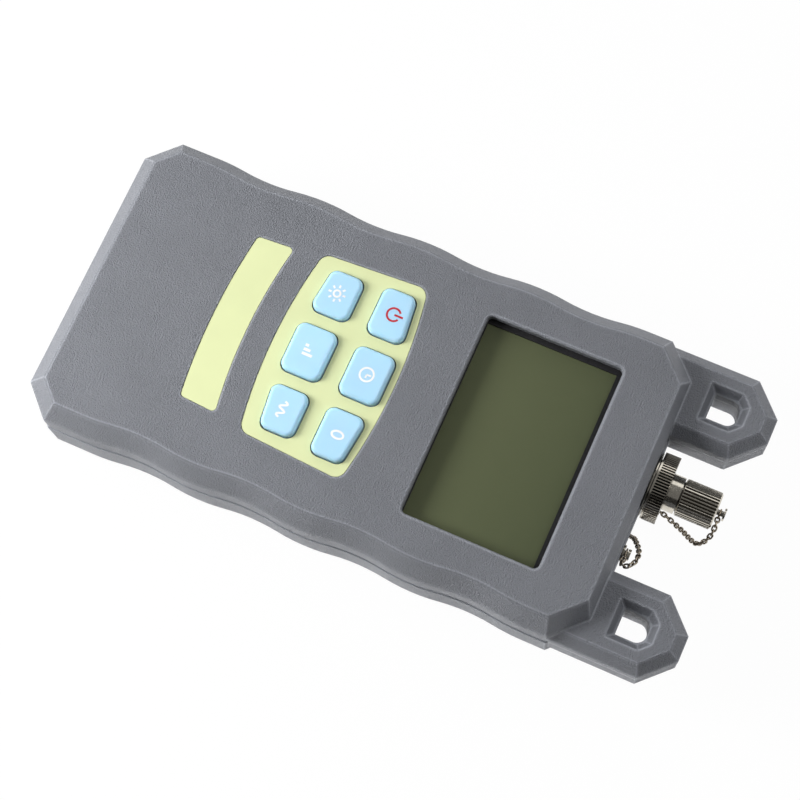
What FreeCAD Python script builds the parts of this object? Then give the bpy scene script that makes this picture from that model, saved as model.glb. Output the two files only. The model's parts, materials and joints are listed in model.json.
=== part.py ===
"""Handheld optical power meter: a two-part moulded case with strap ears, a display, six keys,
a fibre port with a knurled dust cap on a chain, and a battery bay.

Frame: X to the right of the keypad, Y towards the fibre port, Z out of the keypad.
The back lies on Z = 0, and Y = 0 is half way along the whole length. Millimetres.
"""
import FreeCAD, Part
import math
import os
import re

import Sketcher
from FreeCAD import Placement, Rotation, Vector

# ---------------------------------------------------------------------------------------
# Driving dimensions: alias, value, what it is
# ---------------------------------------------------------------------------------------
SIZES = [
    ("total_length", 175.0, "bottom end to the tips of the strap ears"),
    ("case_length", 152.0, "bottom end to the head end of the main case"),
    ("case_width", 80.8, "across the front shell's bevel, at a crest of its wavy sides"),
    ("case_height", 33.0, "back to front face"),
    ("parting_height", 20.5, "where the two shells meet"),
    ("side_wall", 2.2, "thickness of the side walls"),
    ("top_wall", 2.4, "thickness of the front face"),
    ("floor_wall", 3.0, "thickness of the back"),
    ("seam_step", 0.35, "how far the rear shell stands proud of the front shell"),
    ("front_bevel_drop", 5.8, "height of the bevel round the front face"),
    ("side_bevel_run", 3.9, "width of that bevel along the long sides"),
    ("bottom_bevel_run", 4.7, "width of that bevel at the bottom end"),
    ("head_bevel_run", 1.9, "width of that bevel at the head end"),
    ("rear_bevel_drop", 9.0, "height of the bevel round the back"),
    ("rear_bevel_run", 4.5, "width of the bevel round the back"),
    ("edge_ease", 0.45, "softening of the bevel's edges"),
    ("cut_margin", 1.0, "how far a cutting shape reaches past a face"),
    ("bottom_corner", 7.6, "corner cut at the bottom end"),
    ("head_corner", 8.1, "corner cut at the head end"),
    ("bottom_corner_top", 5.2, "the same cut at the front face, bottom end"),
    ("head_corner_top", 7.4, "the same cut at the front face, head end"),
    ("wave_first", 33.0, "bottom end to the first finger hollow in the sides"),
    ("wave_pitch", 29.8, "pitch of the finger hollows"),
    ("wave_depth", 1.05, "depth of the finger hollows"),
    ("wave_count", 4, "finger hollows on each side"),
    # strap ears
    ("ear_inner", 18.4, "centre line to the inner side of an ear"),
    ("ear_outer", 40.2, "centre line to the outer side of an ear"),
    ("ear_corner", 7.6, "corner cuts at the ear's tip"),
    ("ear_bevel_run", 2.75, "width of the bevel round the top of an ear"),
    ("ear_bevel_drop", 3.2, "height of that bevel"),
    ("ear_bottom", 13.0, "back of the case to the back of an ear"),
    ("ear_root", 10.0, "how far an ear reaches into the case"),
    ("eye_width", 6.7, "width of the strap eye"),
    ("eye_length", 7.3, "length of the strap eye"),
    ("eye_tip", 9.2, "ear's tip to the strap eye"),
    ("eye_radius", 2.6, "rounding of the eye's outer corners"),
    ("dish_width", 10.4, "width of the dished recess round the eye"),
    ("dish_depth", 2.6, "depth of that recess"),
    ("dish_corner", 2.6, "corner cuts of that recess"),
    ("dish_floor_margin", 0.3, "eye to the recess's floor edge"),
    ("dish_floor_corner", 1.56, "corner cuts of that floor"),
    # display
    ("window_width", 54.4, "display opening, across"),
    ("window_length", 36.0, "display opening, along"),
    ("window_centre", 30.5, "half length to the middle of the display opening"),
    ("window_radius", 1.4, "corner radius of the display opening"),
    ("window_ease", 0.4, "chamfer round the display opening"),
    ("pane_margin", 2.0, "how far the pane reaches under the front face"),
    ("pane_thickness", 1.2, "clear pane"),
    ("mask_left", 1.1, "black border that shows left of the display"),
    ("mask_right", 0.3, "the same to the right"),
    ("mask_low", 0.1, "the same at the keypad's side"),
    ("mask_high", 1.3, "the same at the head end"),
    ("mask_thickness", 0.6, "black gasket under the pane"),
    ("glass_thickness", 1.8, "display glass"),
    ("glass_margin", 1.6, "how far the glass reaches under the front face, at its sides"),
    ("glass_ledge", 1.9, "contact ledge of the display glass"),
    ("backlight_thickness", 2.4, "light guide under the glass"),
    ("backlight_inset", 1.0, "light guide inside the glass"),
    ("strip_inset", 2.6, "contact strip's ends inside the glass's"),
    ("strip_gap", 0.4, "light guide to the contact strip"),
    # boards
    ("board_thickness", 1.6, "main circuit board"),
    ("chip_height", 1.6, "chips under the main board"),
    ("board_width", 59.6, "main circuit board, across"),
    ("board_low", -39.0, "lower edge of the main board"),
    ("board_high", 58.6, "upper edge of the main board"),
    ("board_boss_x", 26.5, "board screws from the centre line"),
    ("board_boss_low", -35.6, "lower board screws"),
    ("board_boss_high", 55.6, "upper board screws"),
    ("board_boss_radius", 2.8, "bosses that carry the board"),
    ("board_screw_radius", 1.1, "thread of the board screws"),
    ("board_screw_length", 5.0, "board screws, from the board's lower face"),
    ("board_screw_head", 2.2, "radius of the board screws' heads"),
    # keypad panel
    ("panel_shift", -0.6, "keypad's centre line, from the case's"),
    ("panel_recess", 0.5, "depth of the pockets for the printed films"),
    ("film_thickness", 0.35, "printed films"),
    ("film_gap", 0.15, "film to the edge of its pocket"),
    ("panel_top_half", 26.7, "keypad film, half width at the display end"),
    ("panel_low_half", 25.1, "keypad film, half width at the bottom end"),
    ("panel_top", -4.1, "keypad film's upper corners"),
    ("panel_top_bulge", 2.7, "how far its upper edge bows"),
    ("panel_low", -32.1, "keypad film's lower corners"),
    ("panel_low_bulge", 2.4, "how far its lower edge bows"),
    ("panel_radius", 3.0, "its corners"),
    ("strip_top_half", 23.4, "name film, half width at its upper edge"),
    ("strip_low_half", 22.8, "name film, half width at its lower edge"),
    ("strip_top", -39.4, "name film's upper corners"),
    ("strip_top_sag", 2.0, "how far its upper edge bows down"),
    ("strip_low", -49.5, "name film's lower corners"),
    ("strip_low_sag", 1.6, "how far its lower edge bows down"),
    ("strip_radius", 1.2, "its corners"),
    # keys
    ("key_half", 6.6, "half width of the two middle keys"),
    ("side_key_inner", 10.4, "keypad's centre line to a side key"),
    ("side_key_outer_top", 23.1, "the same to an upper side key's outer edge"),
    ("side_key_outer_low", 22.1, "the same to a lower side key's outer edge"),
    ("upper_row_top", -3.5, "upper middle key, top edge"),
    ("upper_row_low", -14.1, "upper row, lower edge"),
    ("upper_slope_inner", -4.0, "upper side keys, top edge at the inner corner"),
    ("upper_slope_outer", -5.5, "upper side keys, top edge at the outer corner"),
    ("lower_row_top", -19.2, "lower row, top edge"),
    ("lower_row_low", -29.9, "lower middle key, lower edge"),
    ("lower_slope_inner", -29.4, "lower side keys, lower edge at the inner corner"),
    ("lower_slope_outer", -28.0, "lower side keys, lower edge at the outer corner"),
    ("key_radius", 2.2, "corner radius of the keys"),
    ("key_crown", 1.0, "rounding of the keys' upper edges"),
    ("key_proud", 1.6, "key above the keypad film"),
    ("key_gap", 0.35, "running gap round a key"),
    ("key_travel", 0.8, "how far a key goes down"),
    ("key_flange", 0.9, "flange that keeps a key in, beyond its sides"),
    ("key_flange_thickness", 1.0, "that flange"),
    ("key_stem_radius", 2.5, "stem that presses the dome"),
    ("dome_height", 0.4, "snap dome on the board"),
    ("dome_gap", 0.1, "pressed key to the snap dome's top"),
    ("mat_thickness", 1.2, "rubber mat under the keys"),
    ("mat_gap", 0.6, "stem to the mat's hole"),
    # case screws
    ("screw_x", 33.4, "case screws from the centre line"),
    ("screw_low", -76.0, "lower case screws"),
    ("screw_high", 50.0, "upper case screws"),
    ("screw_radius", 1.4, "thread of the case screws"),
    ("screw_head_radius", 2.6, "head of the case screws"),
    ("screw_head_height", 2.0, "head of the case screws"),
    ("screw_sink", 6.0, "back of the case to the underside of the head"),
    ("screw_engagement", 6.5, "length of thread in the front shell"),
    ("screw_boss_wall", 1.3, "wall round the screw's head"),
    ("hole_gap", 0.3, "running gap of a hole round a screw, on the radius"),
    ("pilot_gap", 0.08, "gap of a thread's pilot hole, on the radius"),
    ("pilot_spare", 0.5, "pilot hole beyond the screw's end"),
    # batteries
    ("cell_radius", 7.2, "AA cell"),
    ("cell_length", 50.2, "AA cell with its button"),
    ("cell_button", 1.4, "button's height"),
    ("cell_pitch", 15.2, "cells side by side"),
    ("cell_count", 3, "cells"),
    ("cell_axis", 10.2, "back of the case to the cells' axes"),
    ("bay_low", -78.5, "battery bay's lower end, inside"),
    ("cell_nub_radius", 2.75, "AA cell's button"),
    ("spring_length", 4.6, "battery springs, compressed"),
    ("spring_foot", 4.45, "battery spring's wide end"),
    ("spring_tip", 2.5, "battery spring's narrow end"),
    ("plate_half", 5.05, "half width of the contact plates"),
    ("plate_thickness", 0.4, "contact plates"),
    ("bay_wall", 1.4, "walls of the battery bay"),
    ("bay_gap", 0.5, "cells to the bay's sides and roof"),
    # battery door
    ("door_inset", 0.25, "door's face below the back of the case"),
    ("door_thickness", 1.5, "battery door"),
    ("door_rim", 2.8, "door beyond the bay's opening, each side"),
    ("door_tongue", 1.3, "tongue beyond the door's side"),
    ("door_tongue_thickness", 0.8, "that tongue"),
    ("door_tongue_start", 3.0, "door's low end to the tongues"),
    ("door_gap", 0.2, "gap round the door"),
    ("door_head", 2.4, "door beyond the bay, at its head end"),
    ("grip_count", 6, "thumb grooves in the door"),
    ("grip_pitch", 2.2, "pitch of the thumb grooves"),
    ("grip_start", 6.0, "door's low end to the first thumb groove"),
    ("grip_width", 26.0, "length of a thumb groove"),
    ("grip_depth", 0.5, "depth of a thumb groove"),
    # fibre port
    ("port_x", -7.0, "fibre port's axis, across"),
    ("port_z", 16.5, "fibre port's axis, above the back"),
    ("port_stem_radius", 5.0, "port's threaded stem, through the wall"),
    ("port_stem_inside", 6.0, "stem behind the wall"),
    ("port_flange_radius", 8.4, "port's flange, outside the wall"),
    ("port_flange_thickness", 0.3, "that flange"),
    ("port_thread_radius", 6.9, "port's outer thread"),
    ("port_thread_length", 1.9, "that thread's length"),
    ("amp_half", 9.0, "half width of the amplifier board"),
    ("amp_drop", 8.0, "amplifier board below the port's axis"),
    ("header_half", 5.0, "half width of the pin header"),
    ("header_thickness", 2.5, "pin header, along the case"),
    ("header_height", 3.5, "pin header below the main board"),
    ("header_gap", 1.0, "main board to the amplifier board"),
    ("diode_radius", 2.8, "photodiode can"),
    ("diode_length", 3.4, "photodiode can"),
    ("light_bore_radius", 1.7, "bore for the fibre's ferrule"),
    ("nut_flats", 14.0, "port nut across its flats"),
    ("nut_thickness", 2.4, "port nut"),
    ("washer_thickness", 0.5, "spring washer under the nut"),
    ("ring_radius", 8.9, "coupling ring, over its flutes"),
    ("ring_length", 4.0, "coupling ring"),
    ("ring_lip", 0.8, "front lip of the coupling ring"),
    ("ring_rim", 0.45, "plain rim at the back of the coupling ring"),
    ("ring_flutes", 74, "flutes of the coupling ring"),
    ("ring_flute_depth", 0.4, "depth of those flutes"),
    ("flute_share", 0.7, "a flute's width as a share of their pitch"),
    ("turn_gap", 0.3, "running gap of turned pieces"),
    ("adapter_flange_radius", 6.6, "adapter's flange inside the coupling ring"),
    ("adapter_flange_thickness", 1.2, "that flange"),
    ("neck_radius", 4.85, "adapter's plain neck"),
    ("neck_length", 3.1, "adapter's neck, in front of the coupling ring"),
    ("tip_radius", 4.0, "adapter's threaded tip"),
    ("tip_length", 7.8, "adapter's threaded tip"),
    ("sleeve_radius", 1.65, "alignment sleeve, outside"),
    ("ferrule_radius", 1.25, "alignment sleeve, bore"),
    ("sleeve_sink", 0.5, "alignment sleeve inside the adapter's tip"),
    ("cap_radius", 4.9, "dust cap, over its flutes"),
    ("cap_length", 9.6, "dust cap"),
    ("cap_end", 1.3, "dust cap's closed end"),
    ("cap_rim", 0.3, "plain rim at each end of the dust cap"),
    ("cap_flutes", 36, "flutes of the dust cap"),
    ("cap_flute_depth", 0.35, "depth of those flutes"),
    ("seal_thickness", 0.5, "rubber disc inside the dust cap"),
    ("post_radius", 0.75, "swivel post's shank"),
    ("post_head_radius", 1.7, "swivel post's head"),
    ("post_rivet_radius", 1.5, "swivel post's riveted end, inside the cap"),
    ("post_neck", 1.7, "swivel post between the cap and its head"),
    ("post_head_thickness", 0.5, "swivel post's head"),
    # chain
    ("anchor_x", 11.7, "chain's anchor screw, across"),
    ("anchor_z", 16.0, "chain's anchor screw, above the back"),
    ("anchor_base_radius", 2.1, "anchor screw's shoulder"),
    ("anchor_base_thickness", 0.6, "that shoulder"),
    ("anchor_neck_radius", 0.8, "anchor screw's neck"),
    ("anchor_neck_length", 0.8, "that neck"),
    ("anchor_head_radius", 1.5, "anchor screw's head"),
    ("anchor_head_thickness", 0.75, "that head"),
    ("anchor_thread", 5.0, "anchor screw's thread in the wall"),
    ("link_length", 2.05, "chain link, outside"),
    ("link_width", 1.5, "chain link, outside"),
    ("link_wire", 0.36, "chain link's wire"),
    ("link_pitch", 1.15, "link to link"),
    ("cap_ring_radius", 1.45, "ring on the swivel post, outside"),
    ("anchor_ring_radius", 2.0, "ring on the anchor screw, outside"),
    ("anchor_ring_lean", 45.0, "angle at which that ring is pulled up"),
    ("ring_play", 0.05, "ring to the shank it hangs on"),
]
S = {name: float(number) for name, number, note in SIZES}

# The chain's route, chosen by hand: over the cap's end, down beside the adapter, along the
# surface that the meter lies on, and up to the anchor screw.
CHAIN_ROUTE = [
    (-5.09, 83.32, 16.50), (-3.10, 83.42, 16.60), (-1.20, 83.30, 15.80), (0.50, 82.50, 14.10),
    (1.30, 81.20, 11.80), (0.60, 79.50, 9.20), (-0.60, 78.00, 6.80), (-1.90, 76.40, 4.40),
    (-2.90, 74.90, 2.50), (-3.80, 73.20, 1.30), (-4.50, 71.40, 0.95), (-5.00, 69.50, 0.95),
    (-5.00, 67.50, 0.95), (-4.20, 65.60, 0.95), (-2.60, 64.10, 0.95), (-0.50, 63.20, 0.95),
    (1.60, 63.10, 1.30), (3.40, 63.60, 2.60), (4.70, 64.60, 4.90), (5.40, 65.60, 7.80),
    (6.10, 66.20, 10.60), (7.20, 66.90, 13.20), (8.70, 67.90, 15.60), (10.40, 68.70, 17.70),
    (12.20, 68.95, 19.30), (13.90, 68.60, 20.20), (15.20, 67.50, 20.30), (15.35, 66.40, 19.60),
    (13.82, 65.85, 18.12),
]

doc = FreeCAD.newDocument("optical_power_meter")
sheet = doc.addObject("Spreadsheet::Sheet", "sizes")
for row, (name, number, note) in enumerate(SIZES, start=1):
    sheet.set(f"A{row}", name)
    sheet.set(f"B{row}", str(number))
    sheet.set(f"C{row}", note)
    sheet.setAlias(f"B{row}", name)
doc.recompute()

# Places that several pieces share, as expressions over the sheet's names
BOTTOM = "-total_length / 2"
HEAD = "(-total_length / 2 + case_length)"
INNER_TOP = "(case_height - top_wall)"
PANE_LOW = f"({INNER_TOP} - pane_thickness)"
MASK_LOW = f"({PANE_LOW} - mask_thickness)"
GLASS_LOW = f"({MASK_LOW} - glass_thickness)"
BOARD_TOP = f"({GLASS_LOW} - backlight_thickness)"
BOARD_LOW = f"({BOARD_TOP} - board_thickness)"
WINDOW_HIGH = "(window_centre + window_length / 2)"
WINDOW_LOW = "(window_centre - window_length / 2)"
FILM_FLOOR = "(case_height - panel_recess)"
FILM_TOP = f"({FILM_FLOOR} + film_thickness)"
KEY_TOP = f"({FILM_TOP} + key_proud)"
FLANGE_TOP = f"({INNER_TOP} - key_gap)"
FLANGE_LOW = f"({FLANGE_TOP} - key_flange_thickness)"
STEM_LOW = f"({BOARD_TOP} + dome_height + key_travel + dome_gap)"
WALL_FACE = f"({HEAD} + seam_step)"
WALL_BACK = f"({HEAD} - side_wall)"
RING_BACK = f"({WALL_FACE} + port_flange_thickness + turn_gap)"
RING_FRONT = f"({RING_BACK} + ring_length)"
NECK_FRONT = f"({RING_FRONT} + neck_length)"
TIP_FRONT = f"({NECK_FRONT} + tip_length)"
CAP_BACK = f"({NECK_FRONT} + turn_gap)"
CAP_FRONT = f"({CAP_BACK} + cap_length)"
BAY_HALF = "((cell_count - 1) / 2 * cell_pitch + cell_radius + bay_gap)"
BAY_HIGH = "(bay_low + cell_length + spring_length + 2 * plate_thickness)"
BAY_ROOF = "(cell_axis + cell_radius + bay_gap)"
DOOR_HALF = f"({BAY_HALF} + door_rim)"
DOOR_TOP = "(door_inset + door_thickness)"
DOOR_HIGH = f"({BAY_HIGH} + door_head)"
BACK_LOW = f"({BOTTOM} - seam_step + rear_bevel_run)"


def sheet_name(word):
    name = word.group(0)
    return "sizes." + name if name in S else name


def full(text):
    """An expression with each sheet name written as FreeCAD wants it."""
    return re.sub(r"[a-z_]{4,}", sheet_name, str(text))


def number(text):
    """The value of such an expression."""
    return float(sheet.evalExpression(full(text)))


def bind(thing, **expressions):
    for prop, text in expressions.items():
        thing.setExpression(prop, full(text))
    return thing


def put(thing, x, y, z):
    for axis, text in zip("xyz", (x, y, z)):
        thing.setExpression(f".Placement.Base.{axis}", full(text))
    return thing


# ---------------------------------------------------------------------------------------
# Part primitives bound to the sheet
# ---------------------------------------------------------------------------------------
def box(name, x, y, z):
    """A box from (low, high) pairs of expressions along each axis."""
    thing = doc.addObject("Part::Box", name)
    bind(thing, Length=f"({x[1]}) - ({x[0]})", Width=f"({y[1]}) - ({y[0]})", Height=f"({z[1]}) - ({z[0]})")
    return put(thing, x[0], y[0], z[0])


def upright(name, radius, x, y, low, high):
    """A cylinder along Z."""
    thing = doc.addObject("Part::Cylinder", name)
    bind(thing, Radius=radius, Height=f"({high}) - ({low})")
    return put(thing, x, y, low)


def along_y(name, radius, low, high, x="port_x", z="port_z"):
    """A cylinder along Y."""
    thing = doc.addObject("Part::Cylinder", name)
    thing.Placement = Placement(Vector(), Rotation(Vector(1, 0, 0), -90))
    bind(thing, Radius=radius, Height=f"({high}) - ({low})")
    return put(thing, x, low, z)


def cut(name, base, *tools):
    """The base less each tool, one after the other."""
    thing = base
    for index, tool in enumerate(tools):
        step = doc.addObject("Part::Cut", f"{name}_{index}")
        step.Base = thing
        step.Tool = tool
        thing = step
    return thing


def fuse(name, *pieces):
    thing = doc.addObject("Part::MultiFuse", name)
    thing.Shapes = list(pieces)
    return thing


def group(name, *pieces):
    thing = doc.addObject("Part::Compound", name)
    thing.Links = list(pieces)
    return thing


NODES = []


def node(name, thing):
    """Marks an object as one of the meter's pieces."""
    thing.Label = name
    NODES.append(thing)
    return thing


# ---------------------------------------------------------------------------------------
# Sketches bound to the sheet
# ---------------------------------------------------------------------------------------
def sketch_on(body, name, role, offset=None):
    """A sketch on one of the body's own origin planes."""
    sketch = body.newObject("Sketcher::SketchObject", name)
    sketch.AttachmentSupport = [(origin_part(body, role), "")]
    sketch.MapMode = "FlatFace"
    if offset is not None:
        sketch.setExpression("AttachmentOffset.Base.z", full(offset))
    return sketch


def pin(sketch, line, x, y):
    """Fixes a line's first point at two bound distances from the sketch's origin."""
    for kind, text in (("DistanceX", x), ("DistanceY", y)):
        index = sketch.addConstraint(Sketcher.Constraint(kind, -1, 1, line, 1, number(text)))
        sketch.setExpression(f"Constraints[{index}]", full(text))


def polygon(sketch, corners):
    """A closed outline of straight lines whose corners are pairs of expressions."""
    spots = [Vector(number(x), number(y), 0) for x, y in corners]
    first = sketch.GeometryCount
    for start, end in zip(spots, spots[1:] + spots[:1]):
        sketch.addGeometry(Part.LineSegment(start, end), False)
    for step in range(len(spots)):
        after = first + (step + 1) % len(spots)
        sketch.addConstraint(Sketcher.Constraint("Coincident", first + step, 2, after, 1))
    for step, (x, y) in enumerate(corners):
        pin(sketch, first + step, x, y)


def circle(sketch, radius, x="0", y="0"):
    round_line = Part.Circle(Vector(number(x), number(y), 0), Vector(0, 0, 1), number(radius))
    index = sketch.addGeometry(round_line, False)
    row = sketch.addConstraint(Sketcher.Constraint("Radius", index, number(radius)))
    sketch.setExpression(f"Constraints[{row}]", full(radius))
    for kind, text in (("DistanceX", x), ("DistanceY", y)):
        row = sketch.addConstraint(Sketcher.Constraint(kind, -1, 1, index, 3, number(text)))
        sketch.setExpression(f"Constraints[{row}]", full(text))


def new_body(name):
    return doc.addObject("PartDesign::Body", name)


def origin_part(body, role):
    """One of the body's own origin planes or axes."""
    return [item for item in body.Origin.OriginFeatures if item.Role == role][0]


def pad(body, sketch, length):
    feature = body.newObject("PartDesign::Pad", sketch.Name + "_pad")
    feature.Profile = sketch
    feature.setExpression("Length", full(length))
    doc.recompute()
    return feature


def turned(name, profile, x="port_x", z="port_z"):
    """A piece turned about an axis along Y. The profile is (radius, y) pairs of expressions."""
    body = new_body(name)
    sketch = sketch_on(body, name + "_profile", "XY_Plane")
    polygon(sketch, profile)
    feature = body.newObject("PartDesign::Revolution", name + "_turning")
    feature.Profile = sketch
    feature.ReferenceAxis = (sketch, ["V_Axis"])
    feature.Angle = 360
    doc.recompute()
    put(body, x, "0", z)
    return body


VEE_REACH = 1.25      # a flute's cutter, which starts outside the piece, over the flute's depth


def flute(body, name, count, radius, depth, low, high):
    """Straight vee flutes round a turned piece, from low to high: one cut and its polar pattern."""
    sketch = sketch_on(body, name + "_vee", "XZ_Plane", f"-({low})")
    outside = f"({radius} + {depth} * {VEE_REACH - 1})"
    half = f"({math.pi} * flute_share * {radius} / {count} * {VEE_REACH})"
    polygon(sketch, [(f"-{half}", outside), (half, outside), ("0", f"{radius} - {depth}")])
    groove = body.newObject("PartDesign::Pocket", name + "_flute")
    groove.Profile = sketch
    groove.setExpression("Length", full(f"({high}) - ({low})"))
    doc.recompute()
    pattern = body.newObject("PartDesign::PolarPattern", name + "_flutes")
    pattern.Originals = [groove]
    pattern.Axis = (origin_part(body, "Y_Axis"), [""])
    pattern.Angle = 360
    pattern.setExpression("Occurrences", full(count))
    body.Tip = pattern
    doc.recompute()
    return body


# ---------------------------------------------------------------------------------------
# Moulded outlines: plain wires from the sheet's values
# ---------------------------------------------------------------------------------------
MITRE = 2 - math.sqrt(2)      # what a 45 degree corner cut loses for each millimetre of inset


def closed(points, z):
    spots = [Vector(x, y, z) for x, y in points]
    return Part.makePolygon(spots + spots[:1])


def wavy_side(half, low, high, z):
    """One long side of the case, from low to high: straight ends and a run of tangent arcs."""
    depth, pitch = S["wave_depth"], S["wave_pitch"]
    quarter = pitch / 4
    radius = (quarter ** 2 + (depth / 2) ** 2) / depth
    first = -S["total_length"] / 2 + S["wave_first"]

    def bump(centre, offset):
        return Vector(half - radius + math.sqrt(radius ** 2 - offset ** 2), centre + offset, z)

    def hollow(centre, offset):
        return Vector(half - depth + radius - math.sqrt(radius ** 2 - offset ** 2), centre + offset, z)

    def arc(shape, centre, start, end):
        return Part.Arc(shape(centre, start), shape(centre, (start + end) / 2), shape(centre, end)).toShape()

    edges = [Part.makeLine(Vector(half, low, z), bump(first - pitch / 2, 0))]
    edges.append(arc(bump, first - pitch / 2, 0, quarter))
    count = int(S["wave_count"])
    for step in range(count):
        centre = first + step * pitch
        edges.append(arc(hollow, centre, -quarter, quarter))
        reach = quarter if step < count - 1 else 0
        edges.append(arc(bump, centre + pitch / 2, -quarter, reach))
    edges.append(Part.makeLine(bump(first + (count - 0.5) * pitch, 0), Vector(half, high, z)))
    return edges


def case_outline(side, bottom, head, low_cut, high_cut, z):
    """The case's outline with each side moved in by its own amount."""
    half = S["case_width"] / 2 - side
    low = -S["total_length"] / 2 + bottom
    high = -S["total_length"] / 2 + S["case_length"] - head
    right = wavy_side(half, low + low_cut, high - high_cut, z)
    mirror = FreeCAD.Matrix()
    mirror.A11 = -1
    left = [edge.transformGeometry(mirror) for edge in right]
    ends = [
        Part.makeLine(Vector(half, high - high_cut, z), Vector(half - high_cut, high, z)),
        Part.makeLine(Vector(half - high_cut, high, z), Vector(high_cut - half, high, z)),
        Part.makeLine(Vector(high_cut - half, high, z), Vector(-half, high - high_cut, z)),
        Part.makeLine(Vector(-half, low + low_cut, z), Vector(low_cut - half, low, z)),
        Part.makeLine(Vector(low_cut - half, low, z), Vector(half - low_cut, low, z)),
        Part.makeLine(Vector(half - low_cut, low, z), Vector(half, low + low_cut, z)),
    ]
    return Part.Wire(right + ends[:3] + left[::-1] + ends[3:])


def front_outline(share, z):
    """The front shell's outline, from the bevel's foot (0) to the front face (1)."""
    low_cut = S["bottom_corner"] + (S["bottom_corner_top"] - S["bottom_corner"]) * share
    high_cut = S["head_corner"] + (S["head_corner_top"] - S["head_corner"]) * share
    return case_outline(S["side_bevel_run"] * share, S["bottom_bevel_run"] * share,
                        S["head_bevel_run"] * share, low_cut, high_cut, z)


def rear_outline(inset, z):
    """The rear shell's outline, moved in by inset from its widest."""
    inset -= S["seam_step"]
    low_cut = S["bottom_corner"] - MITRE * inset
    high_cut = S["head_corner"] - MITRE * inset
    return case_outline(inset, inset, inset, low_cut, high_cut, z)


def plain_outline(half, low, high, low_cut, high_cut, z):
    """An eight-cornered outline, for the inside of a shell."""
    corners = [(half, low + low_cut), (half, high - high_cut), (half - high_cut, high)]
    corners += [(-x, y) for x, y in corners[::-1]]
    corners += [(low_cut - half, low), (half - low_cut, low)]
    return closed(corners, z)


def ear_outline(inset, z):
    low = -S["total_length"] / 2 + S["case_length"] - S["ear_root"]
    inner, outer, tip = S["ear_inner"] + inset, S["ear_outer"] - inset, S["total_length"] / 2 - inset
    corner = S["ear_corner"] - MITRE * inset
    return closed([(inner, low), (outer, low), (outer, tip - corner), (outer - corner, tip),
                   (inner + corner, tip), (inner, tip - corner)], z)


def eye_outline(margin, corner, z):
    """An outline round the strap eye, its two outer corners cut."""
    centre = (S["ear_inner"] + S["ear_outer"]) / 2
    half = S["eye_width"] / 2 + margin
    high = S["total_length"] / 2 - S["eye_tip"] + margin
    low = high - S["eye_length"] - 2 * margin
    return closed([(centre - half, low), (centre + half, low), (centre + half, high - corner),
                   (centre + half - corner, high), (centre - half + corner, high),
                   (centre - half, high - corner)], z)


def stack(*wires):
    return Part.makeLoft(list(wires), True, True)


def mirrored(shape):
    return shape.mirror(Vector(), Vector(1, 0, 0))


def feature(name, shape):
    """A shape that only Part's own functions can make from the sheet's values."""
    thing = doc.addObject("Part::Feature", name)
    thing.Shape = shape
    return thing


def rounded_corners(shape, radius):
    """A prism with its upright edges rounded."""
    height = shape.BoundBox.ZLength
    upright_edges = [edge for edge in shape.Edges if edge.BoundBox.ZLength > 0.9 * height]
    return shape.makeFillet(radius, upright_edges)


def bowed_plate(top_half, top, top_bow, low_half, low, low_bow, radius, shrink, z0, z1):
    """A plate whose upper and lower edges are bowed and whose corners are rounded."""
    shift = S["panel_shift"]
    top_half, low_half, top, low = top_half - shrink, low_half - shrink, top - shrink, low + shrink
    left_top, right_top = Vector(shift - top_half, top, z0), Vector(shift + top_half, top, z0)
    left_low, right_low = Vector(shift - low_half, low, z0), Vector(shift + low_half, low, z0)
    edges = [
        Part.Arc(left_top, Vector(shift, top + top_bow, z0), right_top).toShape(),
        Part.makeLine(right_top, right_low),
        Part.Arc(right_low, Vector(shift, low - low_bow, z0), left_low).toShape(),
        Part.makeLine(left_low, left_top),
    ]
    block = Part.Face(Part.Wire(edges)).extrude(Vector(0, 0, z1 - z0))
    return rounded_corners(block, max(radius - shrink, 0.3))


def panel_plate(shrink, z0, z1):
    return bowed_plate(S["panel_top_half"], S["panel_top"], S["panel_top_bulge"], S["panel_low_half"],
                       S["panel_low"], S["panel_low_bulge"], S["panel_radius"], shrink, z0, z1)


def strip_plate(shrink, z0, z1):
    return bowed_plate(S["strip_top_half"], S["strip_top"], -S["strip_top_sag"], S["strip_low_half"],
                       S["strip_low"], S["strip_low_sag"], S["strip_radius"], shrink, z0, z1)


# ---------------------------------------------------------------------------------------
# Keys: name, corners about the keypad's centre line
# ---------------------------------------------------------------------------------------
KEYS = {
    "key_auto_off": [("-key_half", "upper_row_low"), ("key_half", "upper_row_low"),
                     ("key_half", "upper_row_top"), ("-key_half", "upper_row_top")],
    "key_power": [("-side_key_outer_top", "upper_row_low"), ("-side_key_inner", "upper_row_low"),
                  ("-side_key_inner", "upper_slope_inner"), ("-side_key_outer_top", "upper_slope_outer")],
    "key_zero": [("side_key_inner", "upper_row_low"), ("side_key_outer_top", "upper_row_low"),
                 ("side_key_outer_top", "upper_slope_outer"), ("side_key_inner", "upper_slope_inner")],
    "key_db": [("-key_half", "lower_row_low"), ("key_half", "lower_row_low"),
               ("key_half", "lower_row_top"), ("-key_half", "lower_row_top")],
    "key_light": [("-side_key_outer_low", "lower_slope_outer"), ("-side_key_inner", "lower_slope_inner"),
                  ("-side_key_inner", "lower_row_top"), ("-side_key_outer_low", "lower_row_top")],
    "key_wavelength": [("side_key_inner", "lower_slope_inner"), ("side_key_outer_low", "lower_slope_outer"),
                       ("side_key_outer_low", "lower_row_top"), ("side_key_inner", "lower_row_top")],
}


def outward(value, middle, margin):
    """A corner's expression moved away from the key's middle."""
    sign = "+" if number(value) > middle else "-"
    return f"{value} {sign} {margin}"


def grown(corners, margin):
    """A key's corners moved out by a margin, along X and along Y."""
    middle_x = sum(number(x) for x, y in corners) / len(corners)
    middle_y = sum(number(y) for x, y in corners) / len(corners)
    return [(outward(x, middle_x, margin), outward(y, middle_y, margin)) for x, y in corners]


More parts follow.
